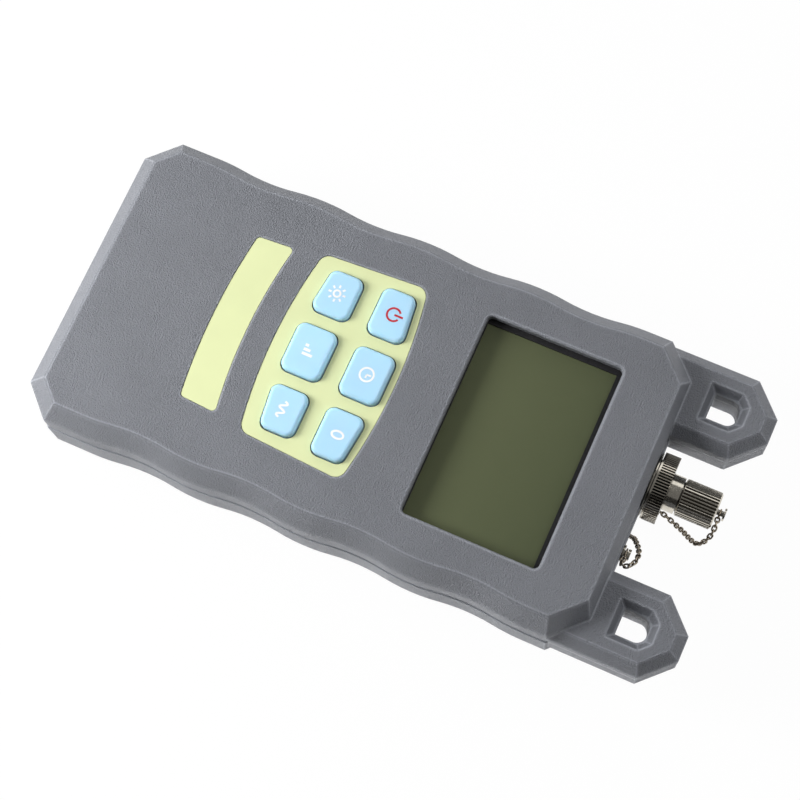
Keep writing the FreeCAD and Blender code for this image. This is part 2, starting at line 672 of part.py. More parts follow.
def key_middle(name):
    xs = [x for x, y in KEYS[name]]
    ys = [y for x, y in KEYS[name]]
    return f"(({' + '.join(xs)}) / 4 + panel_shift)", f"(({' + '.join(ys)}) / 4)"


def key_prism(corners, radius, z0, z1):
    spots = [(number(x) + S["panel_shift"], number(y)) for x, y in corners]
    block = Part.Face(closed(spots, z0)).extrude(Vector(0, 0, z1 - z0))
    return rounded_corners(block, radius)


def make_key(name):
    """A key: crowned cap, retaining flange and stem, padded one after the other."""
    corners = KEYS[name]
    body = new_body(name)
    cap = sketch_on(body, name + "_cap", "XY_Plane", FLANGE_LOW)
    polygon(cap, [(f"{x} + panel_shift", y) for x, y in corners])
    block = pad(body, cap, f"{KEY_TOP} - {FLANGE_LOW}")
    corner_edges = [f"Edge{index}" for index, edge in enumerate(block.Shape.Edges, start=1)
                    if edge.BoundBox.ZLength > S["key_crown"]]
    round_corners = body.newObject("PartDesign::Fillet", name + "_corners")
    round_corners.Base = (block, corner_edges)
    round_corners.setExpression("Radius", full("key_radius"))
    doc.recompute()
    top = round_corners.Shape.BoundBox.ZMax
    crown_edges = [f"Edge{index}" for index, edge in enumerate(round_corners.Shape.Edges, start=1)
                   if edge.BoundBox.ZMin > top - S["key_crown"] / 10]
    crown = body.newObject("PartDesign::Fillet", name + "_crown")
    crown.Base = (round_corners, crown_edges)
    crown.setExpression("Radius", full("key_crown"))
    doc.recompute()
    flange = sketch_on(body, name + "_flange", "XY_Plane", FLANGE_LOW)
    polygon(flange, [(f"{x} + panel_shift", y) for x, y in grown(corners, "key_flange")])
    pad(body, flange, "key_flange_thickness")
    stem = sketch_on(body, name + "_stem", "XY_Plane", STEM_LOW)
    circle(stem, "key_stem_radius", *key_middle(name))
    pad(body, stem, f"{FLANGE_LOW} - {STEM_LOW} + key_flange_thickness / 2")
    return node(name, body)


# ---------------------------------------------------------------------------------------
# Front shell
# ---------------------------------------------------------------------------------------
def front_block():
    top, foot = S["case_height"], S["case_height"] - S["front_bevel_drop"]
    ease = S["edge_ease"]
    share = ease / S["front_bevel_drop"]
    shell = stack(front_outline(0, S["parting_height"]), front_outline(0, foot - ease),
                  front_outline(share, foot + ease), front_outline(1 - share, top - ease),
                  front_outline(1 + share, top))
    ear_foot = foot - S["ear_bevel_drop"]
    run = S["ear_bevel_run"]
    ear_share = ease / S["ear_bevel_drop"] / 2
    ear = stack(ear_outline(0, S["parting_height"]), ear_outline(0, ear_foot - ease / 2),
                ear_outline(run * ear_share, ear_foot + ease / 2),
                ear_outline(run * (1 - ear_share), foot - ease / 2), ear_outline(run + ease / 2, foot))
    dish_rim = (S["dish_width"] - S["eye_width"]) / 2
    dish = stack(eye_outline(S["dish_floor_margin"], S["dish_floor_corner"], foot - S["dish_depth"]),
                 eye_outline(dish_rim, S["dish_corner"], foot))
    ear = ear.cut([dish, eye_hole()])
    return shell.fuse([ear, mirrored(ear)])


def eye_hole():
    """The strap eye: square towards the case, rounded towards the ear's tip."""
    low = S["ear_bottom"] - S["cut_margin"]
    high = S["case_height"] - S["front_bevel_drop"] + S["cut_margin"]
    centre = (S["ear_inner"] + S["ear_outer"]) / 2
    top = S["total_length"] / 2 - S["eye_tip"]
    half = S["eye_width"] / 2
    block = Part.makeBox(2 * half, S["eye_length"], high - low,
                         Vector(centre - half, top - S["eye_length"], low))
    upright_edges = [edge for edge in block.Edges if edge.BoundBox.ZLength > (high - low) / 2]
    tip_edges = [edge for edge in upright_edges if edge.BoundBox.YMin > top - S["eye_length"] / 2]
    return block.makeFillet(S["eye_radius"], tip_edges)


def front_level(share, z):
    """The front shell's inside, from the bevel's foot (0) to the front face (1)."""
    wall = S["side_wall"]
    half = S["case_width"] / 2 - S["wave_depth"] - wall - S["side_bevel_run"] * share
    low = -S["total_length"] / 2 + wall + S["bottom_bevel_run"] * share
    high = -S["total_length"] / 2 + S["case_length"] - wall - S["head_bevel_run"] * share
    return plain_outline(half, low, high, S["bottom_corner"], S["head_corner"], z)


def front_cavity():
    foot = S["case_height"] - S["front_bevel_drop"] - S["side_wall"] / 4
    return stack(front_level(0, S["parting_height"] - S["cut_margin"]), front_level(0, foot),
                 front_level(1, S["case_height"] - S["top_wall"]))


def window_rim(grow, z):
    """The display opening's outline, grown by an amount."""
    corner = S["window_radius"] + grow
    x, y, middle = S["window_width"] / 2 + grow, S["window_length"] / 2 + grow, S["window_centre"]
    bend = corner * (1 - math.sqrt(0.5))
    edges = []
    for sx, sy in ((1, -1), (1, 1), (-1, 1), (-1, -1)):
        side = Vector(sx * x, middle + sy * (y - corner), z)
        end = Vector(sx * (x - corner), middle + sy * y, z)
        mid = Vector(sx * (x - bend), middle + sy * (y - bend), z)
        start, stop = (end, side) if sx * sy < 0 else (side, end)
        if edges:
            edges.append(Part.makeLine(edges[-1].Vertexes[-1].Point, start))
        edges.append(Part.Arc(start, mid, stop).toShape())
    edges.append(Part.makeLine(edges[-1].Vertexes[-1].Point, edges[0].Vertexes[0].Point))
    return Part.Wire(edges)


def window_hole():
    top, ease = S["case_height"], S["window_ease"]
    return stack(window_rim(0, top - 2 * S["top_wall"]), window_rim(0, top - ease),
                 window_rim(ease, top), window_rim(2 * ease, top + ease))


doc.recompute()
block = feature("front_block", front_block())
cavity = feature("front_cavity", front_cavity())
screw_bosses = []
for side in (-1, 1):
    for end in ("screw_low", "screw_high"):
        boss_radius = "screw_radius + pilot_gap + screw_boss_wall"
        screw_bosses.append(upright(f"front_boss_{end}_{side + 1}", boss_radius, f"{side} * screw_x", end,
                                    "parting_height", "case_height"))
    for end in ("board_boss_low", "board_boss_high"):
        screw_bosses.append(upright(f"{end}_{side + 1}", "board_boss_radius", f"{side} * board_boss_x", end,
                                    BOARD_TOP, "case_height"))
hollow = cut("front_hollow", cavity, *screw_bosses)

pilots = []
for side in (-1, 1):
    for end in ("screw_low", "screw_high"):
        pilots.append(upright(f"front_pilot_{end}_{side + 1}", "screw_radius + pilot_gap",
                              f"{side} * screw_x", end, "parting_height - cut_margin",
                              "parting_height + screw_engagement + pilot_spare"))
    for end in ("board_boss_low", "board_boss_high"):
        pilots.append(upright(f"pilot_{end}_{side + 1}", "board_screw_radius + pilot_gap",
                              f"{side} * board_boss_x", end, f"{BOARD_TOP} - cut_margin",
                              f"{BOARD_LOW} + board_screw_length + pilot_spare"))

film_floor, above = number(FILM_FLOOR), S["case_height"] + S["cut_margin"]
pockets = [
    feature("window_hole", window_hole()),
    feature("keypad_pocket", panel_plate(0, film_floor, above)),
    feature("strip_pocket", strip_plate(0, film_floor, above)),
]
hole_radius = S["key_radius"] + S["key_gap"]
for name, corners in KEYS.items():
    hole = key_prism(grown(corners, "key_gap"), hole_radius, number(INNER_TOP) - S["cut_margin"], above)
    pockets.append(feature(name + "_hole", hole))
port_wall = (f"{WALL_BACK} - cut_margin", f"{WALL_FACE} + cut_margin")
port_hole = along_y("port_hole", "port_stem_radius + hole_gap", *port_wall)
front = node("front_shell", cut("front_shell_cut", block, hollow, port_hole, *pilots, *pockets))

# ---------------------------------------------------------------------------------------
# Rear shell
# ---------------------------------------------------------------------------------------
def rear_block():
    ease, drop, run = S["edge_ease"], S["rear_bevel_drop"], S["rear_bevel_run"]
    share = ease / drop
    shell = stack(rear_outline(run * (1 + share), 0), rear_outline(run * (1 - share), ease),
                  rear_outline(run * share, drop - ease), rear_outline(0, drop + ease),
                  rear_outline(0, S["parting_height"]))
    ear = stack(ear_outline(ease, S["ear_bottom"]), ear_outline(0, S["ear_bottom"] + ease),
                ear_outline(0, S["parting_height"])).cut(eye_hole())
    return shell.fuse([ear, mirrored(ear)])


def rear_level(inset, z):
    """The rear shell's inside, moved in by inset."""
    wall = S["side_wall"]
    half = S["case_width"] / 2 - S["wave_depth"] - wall - inset
    low = -S["total_length"] / 2 + wall + inset
    high = -S["total_length"] / 2 + S["case_length"] - wall - inset
    return plain_outline(half, low, high, S["bottom_corner"], S["head_corner"], z)


def rear_cavity():
    return stack(rear_level(S["rear_bevel_run"], S["floor_wall"]), rear_level(0, S["rear_bevel_drop"]),
                 rear_level(0, S["parting_height"] + S["cut_margin"]))


rear_body = feature("rear_block", rear_block())
rear_space = feature("rear_cavity", rear_cavity())
head_seat = "screw_head_radius + hole_gap"
keepers = [box("bay_block", (f"-({BAY_HALF} + bay_wall)", f"{BAY_HALF} + bay_wall"),
               ("bay_low - bay_wall", f"{BAY_HIGH} + bay_wall"), ("0", f"{BAY_ROOF} + bay_wall"))]
door_way = (f"{BOTTOM} - seam_step - cut_margin", DOOR_HIGH)
holes = [
    box("bay_space", (f"-{BAY_HALF}", BAY_HALF), ("bay_low", BAY_HIGH), ("-cut_margin", BAY_ROOF)),
    box("door_seat", (f"-{DOOR_HALF}", DOOR_HALF), door_way, ("-cut_margin", f"{DOOR_TOP} + door_gap")),
    box("door_groove", (f"-({DOOR_HALF} + door_tongue)", f"{DOOR_HALF} + door_tongue"), door_way,
        (f"{DOOR_TOP} - door_tongue_thickness - door_gap", f"{DOOR_TOP} + door_gap")),
    along_y("rear_port_hole", "port_stem_radius + hole_gap", *port_wall),
    along_y("anchor_pilot", "anchor_neck_radius + pilot_gap", *port_wall, "anchor_x", "anchor_z"),
]
for side in (-1, 1):
    for end in ("screw_low", "screw_high"):
        tag = f"{end}_{side + 1}"
        x = f"{side} * screw_x"
        keepers.append(upright("rear_boss_" + tag, f"{head_seat} + screw_boss_wall", x, end,
                               "0", "parting_height"))
        holes.append(upright("head_well_" + tag, head_seat, x, end, "-cut_margin", "screw_sink"))
        holes.append(upright("clear_hole_" + tag, "screw_radius + hole_gap", x, end,
                             "0", "parting_height + cut_margin"))
rear_hollow = cut("rear_hollow", rear_space, *keepers)
rear = node("rear_shell", cut("rear_shell_cut", rear_body, rear_hollow, *holes))

# ---------------------------------------------------------------------------------------
# Films, display and boards
# ---------------------------------------------------------------------------------------
film_top = number(FILM_TOP)
film = feature("keypad_sheet", panel_plate(S["film_gap"], film_floor, film_top))
film_holes = []
for name, corners in KEYS.items():
    hole = key_prism(grown(corners, "key_gap"), hole_radius, film_floor - S["cut_margin"],
                     film_top + S["cut_margin"])
    film_holes.append(feature(name + "_film_hole", hole))
node("keypad_film", cut("keypad_film_cut", film, *film_holes))
node("name_film", feature("name_sheet", strip_plate(S["film_gap"], film_floor, film_top)))

PANE_SIDE = "(window_width / 2 + pane_margin)"
GLASS_SIDE = "(window_width / 2 + glass_margin)"
PANE_START, PANE_END = f"({WINDOW_LOW} - pane_margin)", f"({WINDOW_HIGH} + pane_margin)"
LIGHT_END = f"({PANE_END} - backlight_inset)"
pane_area = ((f"-{PANE_SIDE}", PANE_SIDE), (PANE_START, PANE_END))
node("display_pane", box("pane", *pane_area, (PANE_LOW, INNER_TOP)))
mask = box("mask", *pane_area, (MASK_LOW, PANE_LOW))
mask_hole = box("mask_hole", ("mask_left - window_width / 2", "window_width / 2 - mask_right"),
                (f"{WINDOW_LOW} + mask_low", f"{WINDOW_HIGH} - mask_high"),
                (f"{MASK_LOW} - cut_margin", f"{PANE_LOW} + cut_margin"))
node("display_gasket", cut("gasket_cut", mask, mask_hole))
node("display_glass", box("glass", (f"-{GLASS_SIDE}", GLASS_SIDE),
                          (PANE_START, f"{PANE_END} + glass_ledge"), (GLASS_LOW, MASK_LOW)))
light_side = f"{GLASS_SIDE} - backlight_inset"
node("display_backlight", box("light_guide", (f"-({light_side})", light_side),
                              (f"{PANE_START} + backlight_inset", LIGHT_END), (BOARD_TOP, GLASS_LOW)))
node("contact_strip", box("elastomer", (f"strip_inset - {GLASS_SIDE}", f"{GLASS_SIDE} - strip_inset"),
                          (f"{LIGHT_END} + strip_gap", f"{PANE_END} + glass_ledge - strip_gap"),
                          (BOARD_TOP, GLASS_LOW)))

board = new_body("main_board")
board_sketch = sketch_on(board, "board_outline", "XY_Plane", BOARD_LOW)
polygon(board_sketch, [("-board_width / 2", "board_low"), ("board_width / 2", "board_low"),
                       ("board_width / 2", "board_high"), ("-board_width / 2", "board_high")])
for end in ("board_boss_low", "board_boss_high"):
    for side in (-1, 1):
        circle(board_sketch, "board_screw_radius + pilot_gap", f"{side} * board_boss_x", end)
pad(board, board_sketch, "board_thickness")
node("main_board", board)

board_screws = []
for side in (-1, 1):
    for end in ("board_boss_low", "board_boss_high"):
        tag = f"board_screw_{end}_{side + 1}"
        place = (f"{side} * board_boss_x", end)
        head = upright(tag + "_head", "board_screw_head", *place, f"{BOARD_LOW} - board_screw_head / 2",
                       BOARD_LOW)
        shank = upright(tag + "_shank", "board_screw_radius", *place, f"{BOARD_LOW} - board_screw_head / 4",
                        f"{BOARD_LOW} + board_screw_length")
        board_screws.append(fuse(tag, head, shank))
node("board_screws", group("board_screw_set", *board_screws))

mat_side = "side_key_outer_top + key_flange"
mat = box("mat_sheet", (f"panel_shift - ({mat_side})", f"panel_shift + {mat_side}"),
          ("lower_row_low - key_flange", "upper_row_top + key_flange"),
          (BOARD_TOP, f"{BOARD_TOP} + mat_thickness"))
mat_holes, domes = [], []
for name in KEYS:
    x, y = key_middle(name)
    mat_holes.append(upright(name + "_mat_hole", "key_stem_radius + mat_gap", x, y,
                             f"{BOARD_TOP} - cut_margin", f"{BOARD_TOP} + mat_thickness + cut_margin"))
    dome = doc.addObject("Part::Cone", name + "_dome")
    bind(dome, Radius1="key_stem_radius", Radius2="key_stem_radius / 2", Height="dome_height")
    domes.append(put(dome, x, y, BOARD_TOP))
node("keypad_mat", cut("mat_cut", mat, *mat_holes))
node("snap_domes", group("dome_set", *domes))
for name in KEYS:
    make_key(name)

# Chips under the board: centre across, centre along, width, length
CHIPS = [(-12, 30, 10, 10), (9, 27, 7, 5), (-14, 8, 5, 8), (12, -12, 8, 4), (-4, -26, 5, 5)]
chips = []
for index, (x, y, wide, long) in enumerate(CHIPS):
    chips.append(box(f"chip_{index}", (f"{x - wide / 2}", f"{x + wide / 2}"),
                     (f"{y - long / 2}", f"{y + long / 2}"), (f"{BOARD_LOW} - chip_height", BOARD_LOW)))
node("board_chips", group("chip_set", *chips))

# ---------------------------------------------------------------------------------------
# Fibre port, adapter and dust cap
# ---------------------------------------------------------------------------------------
stem_end = f"({WALL_BACK} - port_stem_inside)"
thread_front = f"({WALL_FACE} + port_flange_thickness + port_thread_length)"
flange_front = f"({WALL_FACE} + port_flange_thickness)"
diode_seat = f"({stem_end} + diode_length + turn_gap)"
node("detector_port", turned("detector_port", [
    ("diode_radius + turn_gap", stem_end), ("port_stem_radius", stem_end), ("port_stem_radius", WALL_FACE),
    ("port_flange_radius", WALL_FACE), ("port_flange_radius", flange_front),
    ("port_thread_radius", flange_front), ("port_thread_radius", thread_front),
    ("light_bore_radius", thread_front), ("light_bore_radius", diode_seat),
    ("diode_radius + turn_gap", diode_seat)]))

washer_low = f"({WALL_BACK} - washer_thickness)"
nut_low = f"({washer_low} - nut_thickness)"
node("port_washer", turned("port_washer", [
    ("port_stem_radius + pilot_gap", washer_low), ("nut_flats / 2", washer_low), ("nut_flats / 2", WALL_BACK),
    ("port_stem_radius + pilot_gap", WALL_BACK)]))
nut = doc.addObject("Part::Prism", "nut_hexagon")
nut.Polygon = 6
nut.Placement = Placement(Vector(), Rotation(Vector(1, 0, 0), -90))
bind(nut, Circumradius="nut_flats / 2 / cos(30 deg)", Height="nut_thickness")
put(nut, "port_x", nut_low, "port_z")
nut_bore = along_y("nut_bore", "port_stem_radius + pilot_gap", f"{nut_low} - cut_margin",
                   f"{washer_low} + cut_margin")
node("port_nut", cut("nut_cut", nut, nut_bore))
node("photodiode", along_y("diode_can", "diode_radius", stem_end, f"{stem_end} + diode_length"))

amp_low = f"({stem_end} - board_thickness)"
node("amplifier_board", box("amp_board", ("port_x - amp_half", "port_x + amp_half"), (amp_low, stem_end),
                            ("port_z - amp_drop", f"{BOARD_LOW} - header_gap")))
node("board_header", box("header", ("port_x - header_half", "port_x + header_half"),
                         (f"{amp_low} - header_thickness", amp_low),
                         (f"{BOARD_LOW} - header_height", BOARD_LOW)))

ring = turned("coupling_ring", [
    ("port_thread_radius + turn_gap", RING_BACK), ("ring_radius", RING_BACK), ("ring_radius", RING_FRONT),
    ("neck_radius + turn_gap", RING_FRONT), ("neck_radius + turn_gap", f"{RING_FRONT} - ring_lip"),
    ("port_thread_radius + turn_gap", f"{RING_FRONT} - ring_lip")])
node("coupling_ring", flute(ring, "ring", "ring_flutes", "ring_radius", "ring_flute_depth",
                            f"{RING_BACK} + ring_rim", f"{RING_FRONT} + cut_margin"))

adapter_front = f"({RING_FRONT} - ring_lip - turn_gap)"
adapter_back = f"({adapter_front} - adapter_flange_thickness)"
sleeve_bore = "sleeve_radius + pilot_gap"
node("fibre_adapter", turned("fibre_adapter", [
    (sleeve_bore, adapter_back), ("adapter_flange_radius", adapter_back),
    ("adapter_flange_radius", adapter_front), ("neck_radius", adapter_front), ("neck_radius", NECK_FRONT),
    ("tip_radius", NECK_FRONT), ("tip_radius", TIP_FRONT), (sleeve_bore, TIP_FRONT)]))
sleeve_ends = (f"{WALL_FACE} - side_wall", f"{TIP_FRONT} - sleeve_sink")
node("alignment_sleeve", turned("alignment_sleeve", [
    ("ferrule_radius", sleeve_ends[0]), ("sleeve_radius", sleeve_ends[0]), ("sleeve_radius", sleeve_ends[1]),
    ("ferrule_radius", sleeve_ends[1])]))

cap_floor = f"({CAP_FRONT} - cap_end)"
cap = turned("dust_cap", [
    ("tip_radius + turn_gap", CAP_BACK), ("cap_radius - edge_ease / 2", CAP_BACK),
    ("cap_radius", f"{CAP_BACK} + edge_ease / 2"), ("cap_radius", f"{CAP_FRONT} - edge_ease"),
    ("cap_radius - edge_ease", CAP_FRONT), ("post_radius + turn_gap", CAP_FRONT),
    ("post_radius + turn_gap", cap_floor), ("tip_radius + turn_gap", cap_floor)])
node("dust_cap", flute(cap, "cap", "cap_flutes", "cap_radius", "cap_flute_depth",
                       f"{CAP_BACK} + cap_rim", f"{CAP_FRONT} - cap_rim"))
node("cap_seal", turned("cap_seal", [
    ("post_head_radius + turn_gap", f"{cap_floor} - seal_thickness"),
    ("tip_radius", f"{cap_floor} - seal_thickness"), ("tip_radius", cap_floor),
    ("post_head_radius + turn_gap", cap_floor)]))
post_head = f"({CAP_FRONT} + post_neck)"
rivet_low, rivet_high = f"{cap_floor} - seal_thickness", f"{cap_floor} - ring_play"
node("swivel_post", turned("swivel_post", [
    ("0", rivet_low), ("post_rivet_radius", rivet_low), ("post_rivet_radius", rivet_high),
    ("post_radius", rivet_high), ("post_radius", post_head), ("post_head_radius", post_head),
    ("post_head_radius", f"{post_head} + post_head_thickness"), ("0", f"{post_head} + post_head_thickness")]))

anchor_neck = f"({WALL_FACE} + anchor_base_thickness)"
anchor_head = f"({anchor_neck} + anchor_neck_length)"
node("chain_anchor", turned("chain_anchor", [
    ("0", f"{WALL_FACE} - anchor_thread"), ("anchor_neck_radius", f"{WALL_FACE} - anchor_thread"),
    ("anchor_neck_radius", WALL_FACE), ("anchor_base_radius", WALL_FACE),
    ("anchor_base_radius", anchor_neck), ("anchor_neck_radius", anchor_neck),
    ("anchor_neck_radius", anchor_head), ("anchor_head_radius", anchor_head),
    ("anchor_head_radius", f"{anchor_head} + anchor_head_thickness"),
    ("0", f"{anchor_head} + anchor_head_thickness")], "anchor_x", "anchor_z"))

# ---------------------------------------------------------------------------------------
# Chain: flat links strung along the route, each turned a quarter from the last
# ---------------------------------------------------------------------------------------
def link_shape(length, width, wire):
    """One link in the XY plane, its length along X, with its corners cut."""
    def loop(inset):
        x, y = length / 2 - inset, width / 2 - inset
        corner = (width / 2 - inset) * MITRE
        points = [(x - corner, -y), (x, corner - y), (x, y - corner), (x - corner, y)]
        points += [(-px, -py) for px, py in points]
        return closed(points, -wire / 2)
    return Part.Face(loop(0)).cut(Part.Face(loop(wire))).extrude(Vector(0, 0, wire))


def chain_places():
    """Centre, direction and plane of each link, evenly spaced along the route."""
    route = Part.BSplineCurve()
    route.interpolate([Vector(*point) for point in CHAIN_ROUTE])
    curve = route.toShape()
    count = int(round(curve.Length / S["link_pitch"])) + 1
    spots = [route.value(route.parameterAtDistance(curve.Length * k / (count - 1))) for k in range(count)]
    ways = [Vector(*route.tangent(route.parameter(spot))[0]).normalize() for spot in spots]
    normals = [Vector(0, 0, 1)]
    for way in ways[1:]:
        carried = normals[-1] - way * normals[-1].dot(way)
        normals.append(carried.normalize())
    last = Vector(0, 0, 1) - ways[-1] * ways[-1].z
    side = ways[-1].cross(normals[-1])
    twist = math.degrees(math.atan2(last.dot(side), last.dot(normals[-1])))
    if (count - 1) % 2:
        twist -= math.copysign(90, twist)
    places = []
    for k, (spot, way, normal) in enumerate(zip(spots, ways, normals)):
        turn = Rotation(way, twist * k / (count - 1) + 90 * (k % 2))
        places.append((spot, way, turn.multVec(normal)))
    return places


link = link_shape(S["link_length"], S["link_width"], S["link_wire"])
links = []
for index, (spot, way, normal) in enumerate(chain_places()):
    piece = feature(f"chain_link_{index}", link)
    across = normal.cross(way)
    piece.Placement = Placement(spot, Rotation(way, across, normal, "XZY"))
    links.append(piece)
end_rings = [
    ("cap_end_ring", "port_x", f"({CAP_FRONT} + {post_head}) / 2", "port_z",
     "post_radius", "cap_ring_radius", 0),
    ("anchor_end_ring", "anchor_x", f"({anchor_neck} + {anchor_head}) / 2", "anchor_z",
     "anchor_neck_radius", "anchor_ring_radius", S["anchor_ring_lean"]),
]
for name, x, y, z, shank, radius, lean in end_rings:
    piece = feature(name, link_shape(2 * S[radius], 2 * S[radius], S["link_wire"]))
    slack = S[radius] - S[shank] - S["link_wire"] - S["ring_play"]
    centre = Vector(number(x), number(y), number(z))
    centre += Vector(math.cos(math.radians(lean)), 0, math.sin(math.radians(lean))) * slack
    piece.Placement = Placement(centre, Rotation(Vector(1, 0, 0), 90))
    links.append(piece)
node("cap_chain", group("chain_links", *links))

# ---------------------------------------------------------------------------------------
# Case screws
# ---------------------------------------------------------------------------------------
case_screws = []
for side in (-1, 1):
    for end in ("screw_low", "screw_high"):
        tag = f"case_screw_{end}_{side + 1}"
        place = (f"{side} * screw_x", end)
        head = upright(tag + "_head", "screw_head_radius", *place, "screw_sink - screw_head_height",
                       "screw_sink")
        shank = upright(tag + "_shank", "screw_radius", *place, "screw_sink - screw_head_height / 2",
                        "parting_height + screw_engagement")
        case_screws.append(fuse(tag, head, shank))
node("case_screws", group("case_screw_set", *case_screws))

# ---------------------------------------------------------------------------------------
# Batteries, contacts and door
# ---------------------------------------------------------------------------------------
cells, springs, plates = [], [], []
for index in range(int(S["cell_count"])):
    x = f"({index} - (cell_count - 1) / 2) * cell_pitch"
    spring_at_low = index % 2 == 0
    if spring_at_low:
        flat_end = "bay_low + plate_thickness + spring_length"
        shoulder = f"{flat_end} + cell_length - cell_button"
        can_ends = (flat_end, shoulder)
        nub_ends = (f"{shoulder} - cell_button", f"{flat_end} + cell_length")
        spring_seat, facing = "bay_low + plate_thickness", -90
    else:
        tip = "bay_low + plate_thickness"
        can_ends = (f"{tip} + cell_button", f"{tip} + cell_length")
        nub_ends = (tip, f"{tip} + 2 * cell_button")
        spring_seat, facing = f"{BAY_HIGH} - plate_thickness", 90
    can = along_y(f"cell_can_{index}", "cell_radius", *can_ends, x, "cell_axis")
    nub = along_y(f"cell_nub_{index}", "cell_nub_radius", *nub_ends, x, "cell_axis")
    cells.append(fuse(f"cell_{index}", can, nub))
    spring = doc.addObject("Part::Cone", f"spring_{index}")
    spring.Placement = Placement(Vector(), Rotation(Vector(1, 0, 0), facing))
    bind(spring, Radius1="spring_foot", Radius2="spring_tip", Height="spring_length")
    springs.append(put(spring, x, spring_seat, "cell_axis"))
    for end, low in (("low", "bay_low"), ("high", f"{BAY_HIGH} - plate_thickness")):
        plates.append(box(f"plate_{end}_{index}", (f"{x} - plate_half", f"{x} + plate_half"),
                          (low, f"{low} + plate_thickness"),
                          ("cell_axis - plate_half", "cell_axis + plate_half")))
node("aa_cells", group("cell_set", *cells))
node("battery_springs", group("spring_set", *springs))
node("battery_contacts", group("plate_set", *plates))


def flat_sketch(body, name, half, low, high, level):
    """A rectangle across the case on one level, from low to high along it."""
    sketch = sketch_on(body, name, "XY_Plane", level)
    polygon(sketch, [(f"-({half})", low), (half, low), (half, high), (f"-({half})", high)])
    return sketch


door = new_body("battery_door")
door_low = f"({BACK_LOW} + door_gap)"
door_high = f"({DOOR_HIGH} - door_gap)"
plate_sketch = flat_sketch(door, "door_plate", f"{DOOR_HALF} - door_gap", door_low, door_high, "door_inset")
pad(door, plate_sketch, "door_thickness")
tongue_sketch = flat_sketch(door, "door_tongues", f"{DOOR_HALF} + door_tongue - door_gap",
                            f"{door_low} + door_tongue_start", door_high,
                            f"{DOOR_TOP} - door_tongue_thickness")
pad(door, tongue_sketch, "door_tongue_thickness")
grip_low = f"{door_low} + grip_start"
grip_sketch = flat_sketch(door, "thumb_groove", "grip_width / 2", grip_low, f"{grip_low} + grip_pitch / 2",
                          "door_inset")
groove = door.newObject("PartDesign::Pocket", "thumb_groove_cut")
groove.Profile = grip_sketch
groove.Reversed = True
groove.setExpression("Length", full("grip_depth"))
doc.recompute()
grooves = door.newObject("PartDesign::LinearPattern", "thumb_grooves")
grooves.Originals = [groove]
grooves.Direction = (origin_part(door, "Y_Axis"), [""])
grooves.setExpression("Length", full("grip_pitch * (grip_count - 1)"))
grooves.setExpression("Occurrences", full("grip_count"))
door.Tip = grooves
node("battery_door", door)

# ---------------------------------------------------------------------------------------
# Checks and files
# ---------------------------------------------------------------------------------------
doc.recompute()
for thing in doc.Objects:
    if "Invalid" in thing.State or "Error" in thing.State:
        raise RuntimeError(f"{thing.Label} failed: {thing.State}")
for piece in NODES:
    if piece.Shape.isNull() or not piece.Shape.isValid() or not piece.Shape.Solids:
        raise RuntimeError(f"{piece.Label} has no valid solid")

os.makedirs("parts", exist_ok=True)
for piece in NODES:
    piece.Shape.exportStep(f"parts/{piece.Label}.step")
    size = piece.Shape.BoundBox
    print(f"{piece.Label}: {len(piece.Shape.Solids)} solid(s), "
          f"{size.XLength:.1f} x {size.YLength:.1f} x {size.ZLength:.1f} mm, {piece.Shape.Volume:.0f} mm3")
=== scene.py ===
"""Optical power meter: finishes, fine pieces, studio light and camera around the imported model."""
import json
import math

import bmesh
import bpy
import numpy as np
from mathutils import Matrix, Vector


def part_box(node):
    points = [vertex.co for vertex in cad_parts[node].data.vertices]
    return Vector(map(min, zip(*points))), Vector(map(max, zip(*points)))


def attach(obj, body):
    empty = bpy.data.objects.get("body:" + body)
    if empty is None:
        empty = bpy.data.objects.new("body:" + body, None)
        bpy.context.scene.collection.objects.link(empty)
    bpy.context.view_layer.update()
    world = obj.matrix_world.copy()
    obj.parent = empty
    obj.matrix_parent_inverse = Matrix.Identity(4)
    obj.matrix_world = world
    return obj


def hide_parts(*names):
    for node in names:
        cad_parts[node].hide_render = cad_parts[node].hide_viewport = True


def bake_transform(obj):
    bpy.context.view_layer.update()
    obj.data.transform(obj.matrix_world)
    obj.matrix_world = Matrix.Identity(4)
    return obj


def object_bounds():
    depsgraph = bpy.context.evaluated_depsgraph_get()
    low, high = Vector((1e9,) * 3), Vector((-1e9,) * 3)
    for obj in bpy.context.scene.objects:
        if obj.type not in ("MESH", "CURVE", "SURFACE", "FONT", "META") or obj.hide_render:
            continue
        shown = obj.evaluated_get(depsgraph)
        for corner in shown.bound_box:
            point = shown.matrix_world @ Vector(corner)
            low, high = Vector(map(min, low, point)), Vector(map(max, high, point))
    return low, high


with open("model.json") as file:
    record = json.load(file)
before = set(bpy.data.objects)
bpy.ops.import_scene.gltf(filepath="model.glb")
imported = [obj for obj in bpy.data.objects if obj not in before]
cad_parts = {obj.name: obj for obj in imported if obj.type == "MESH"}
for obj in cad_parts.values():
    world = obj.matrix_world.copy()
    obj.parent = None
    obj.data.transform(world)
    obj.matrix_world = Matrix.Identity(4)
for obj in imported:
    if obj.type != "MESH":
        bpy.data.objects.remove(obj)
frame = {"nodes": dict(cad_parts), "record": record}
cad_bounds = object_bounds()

MM = 0.001
NODES = frame["nodes"]

# Camera: where it stands, the way it looks and which way is up in the picture
CAMERA_PLACE = Vector((0.10982, 0.07671, 0.49058))
CAMERA_LOOK = Vector((-0.2270, -0.1587, -0.9609))
CAMERA_UP = Vector((-0.8840, -0.3804, 0.2716))
LENS = 87.36
SENSOR = 36.0


# ---------------------------------------------------------------------------------------
# Materials
# ---------------------------------------------------------------------------------------
CASE_GREY = (0.182, 0.190, 0.211)
FILM_YELLOW = (0.70, 0.752, 0.415)
KEY_BLUE = (0.450, 0.725, 0.945)

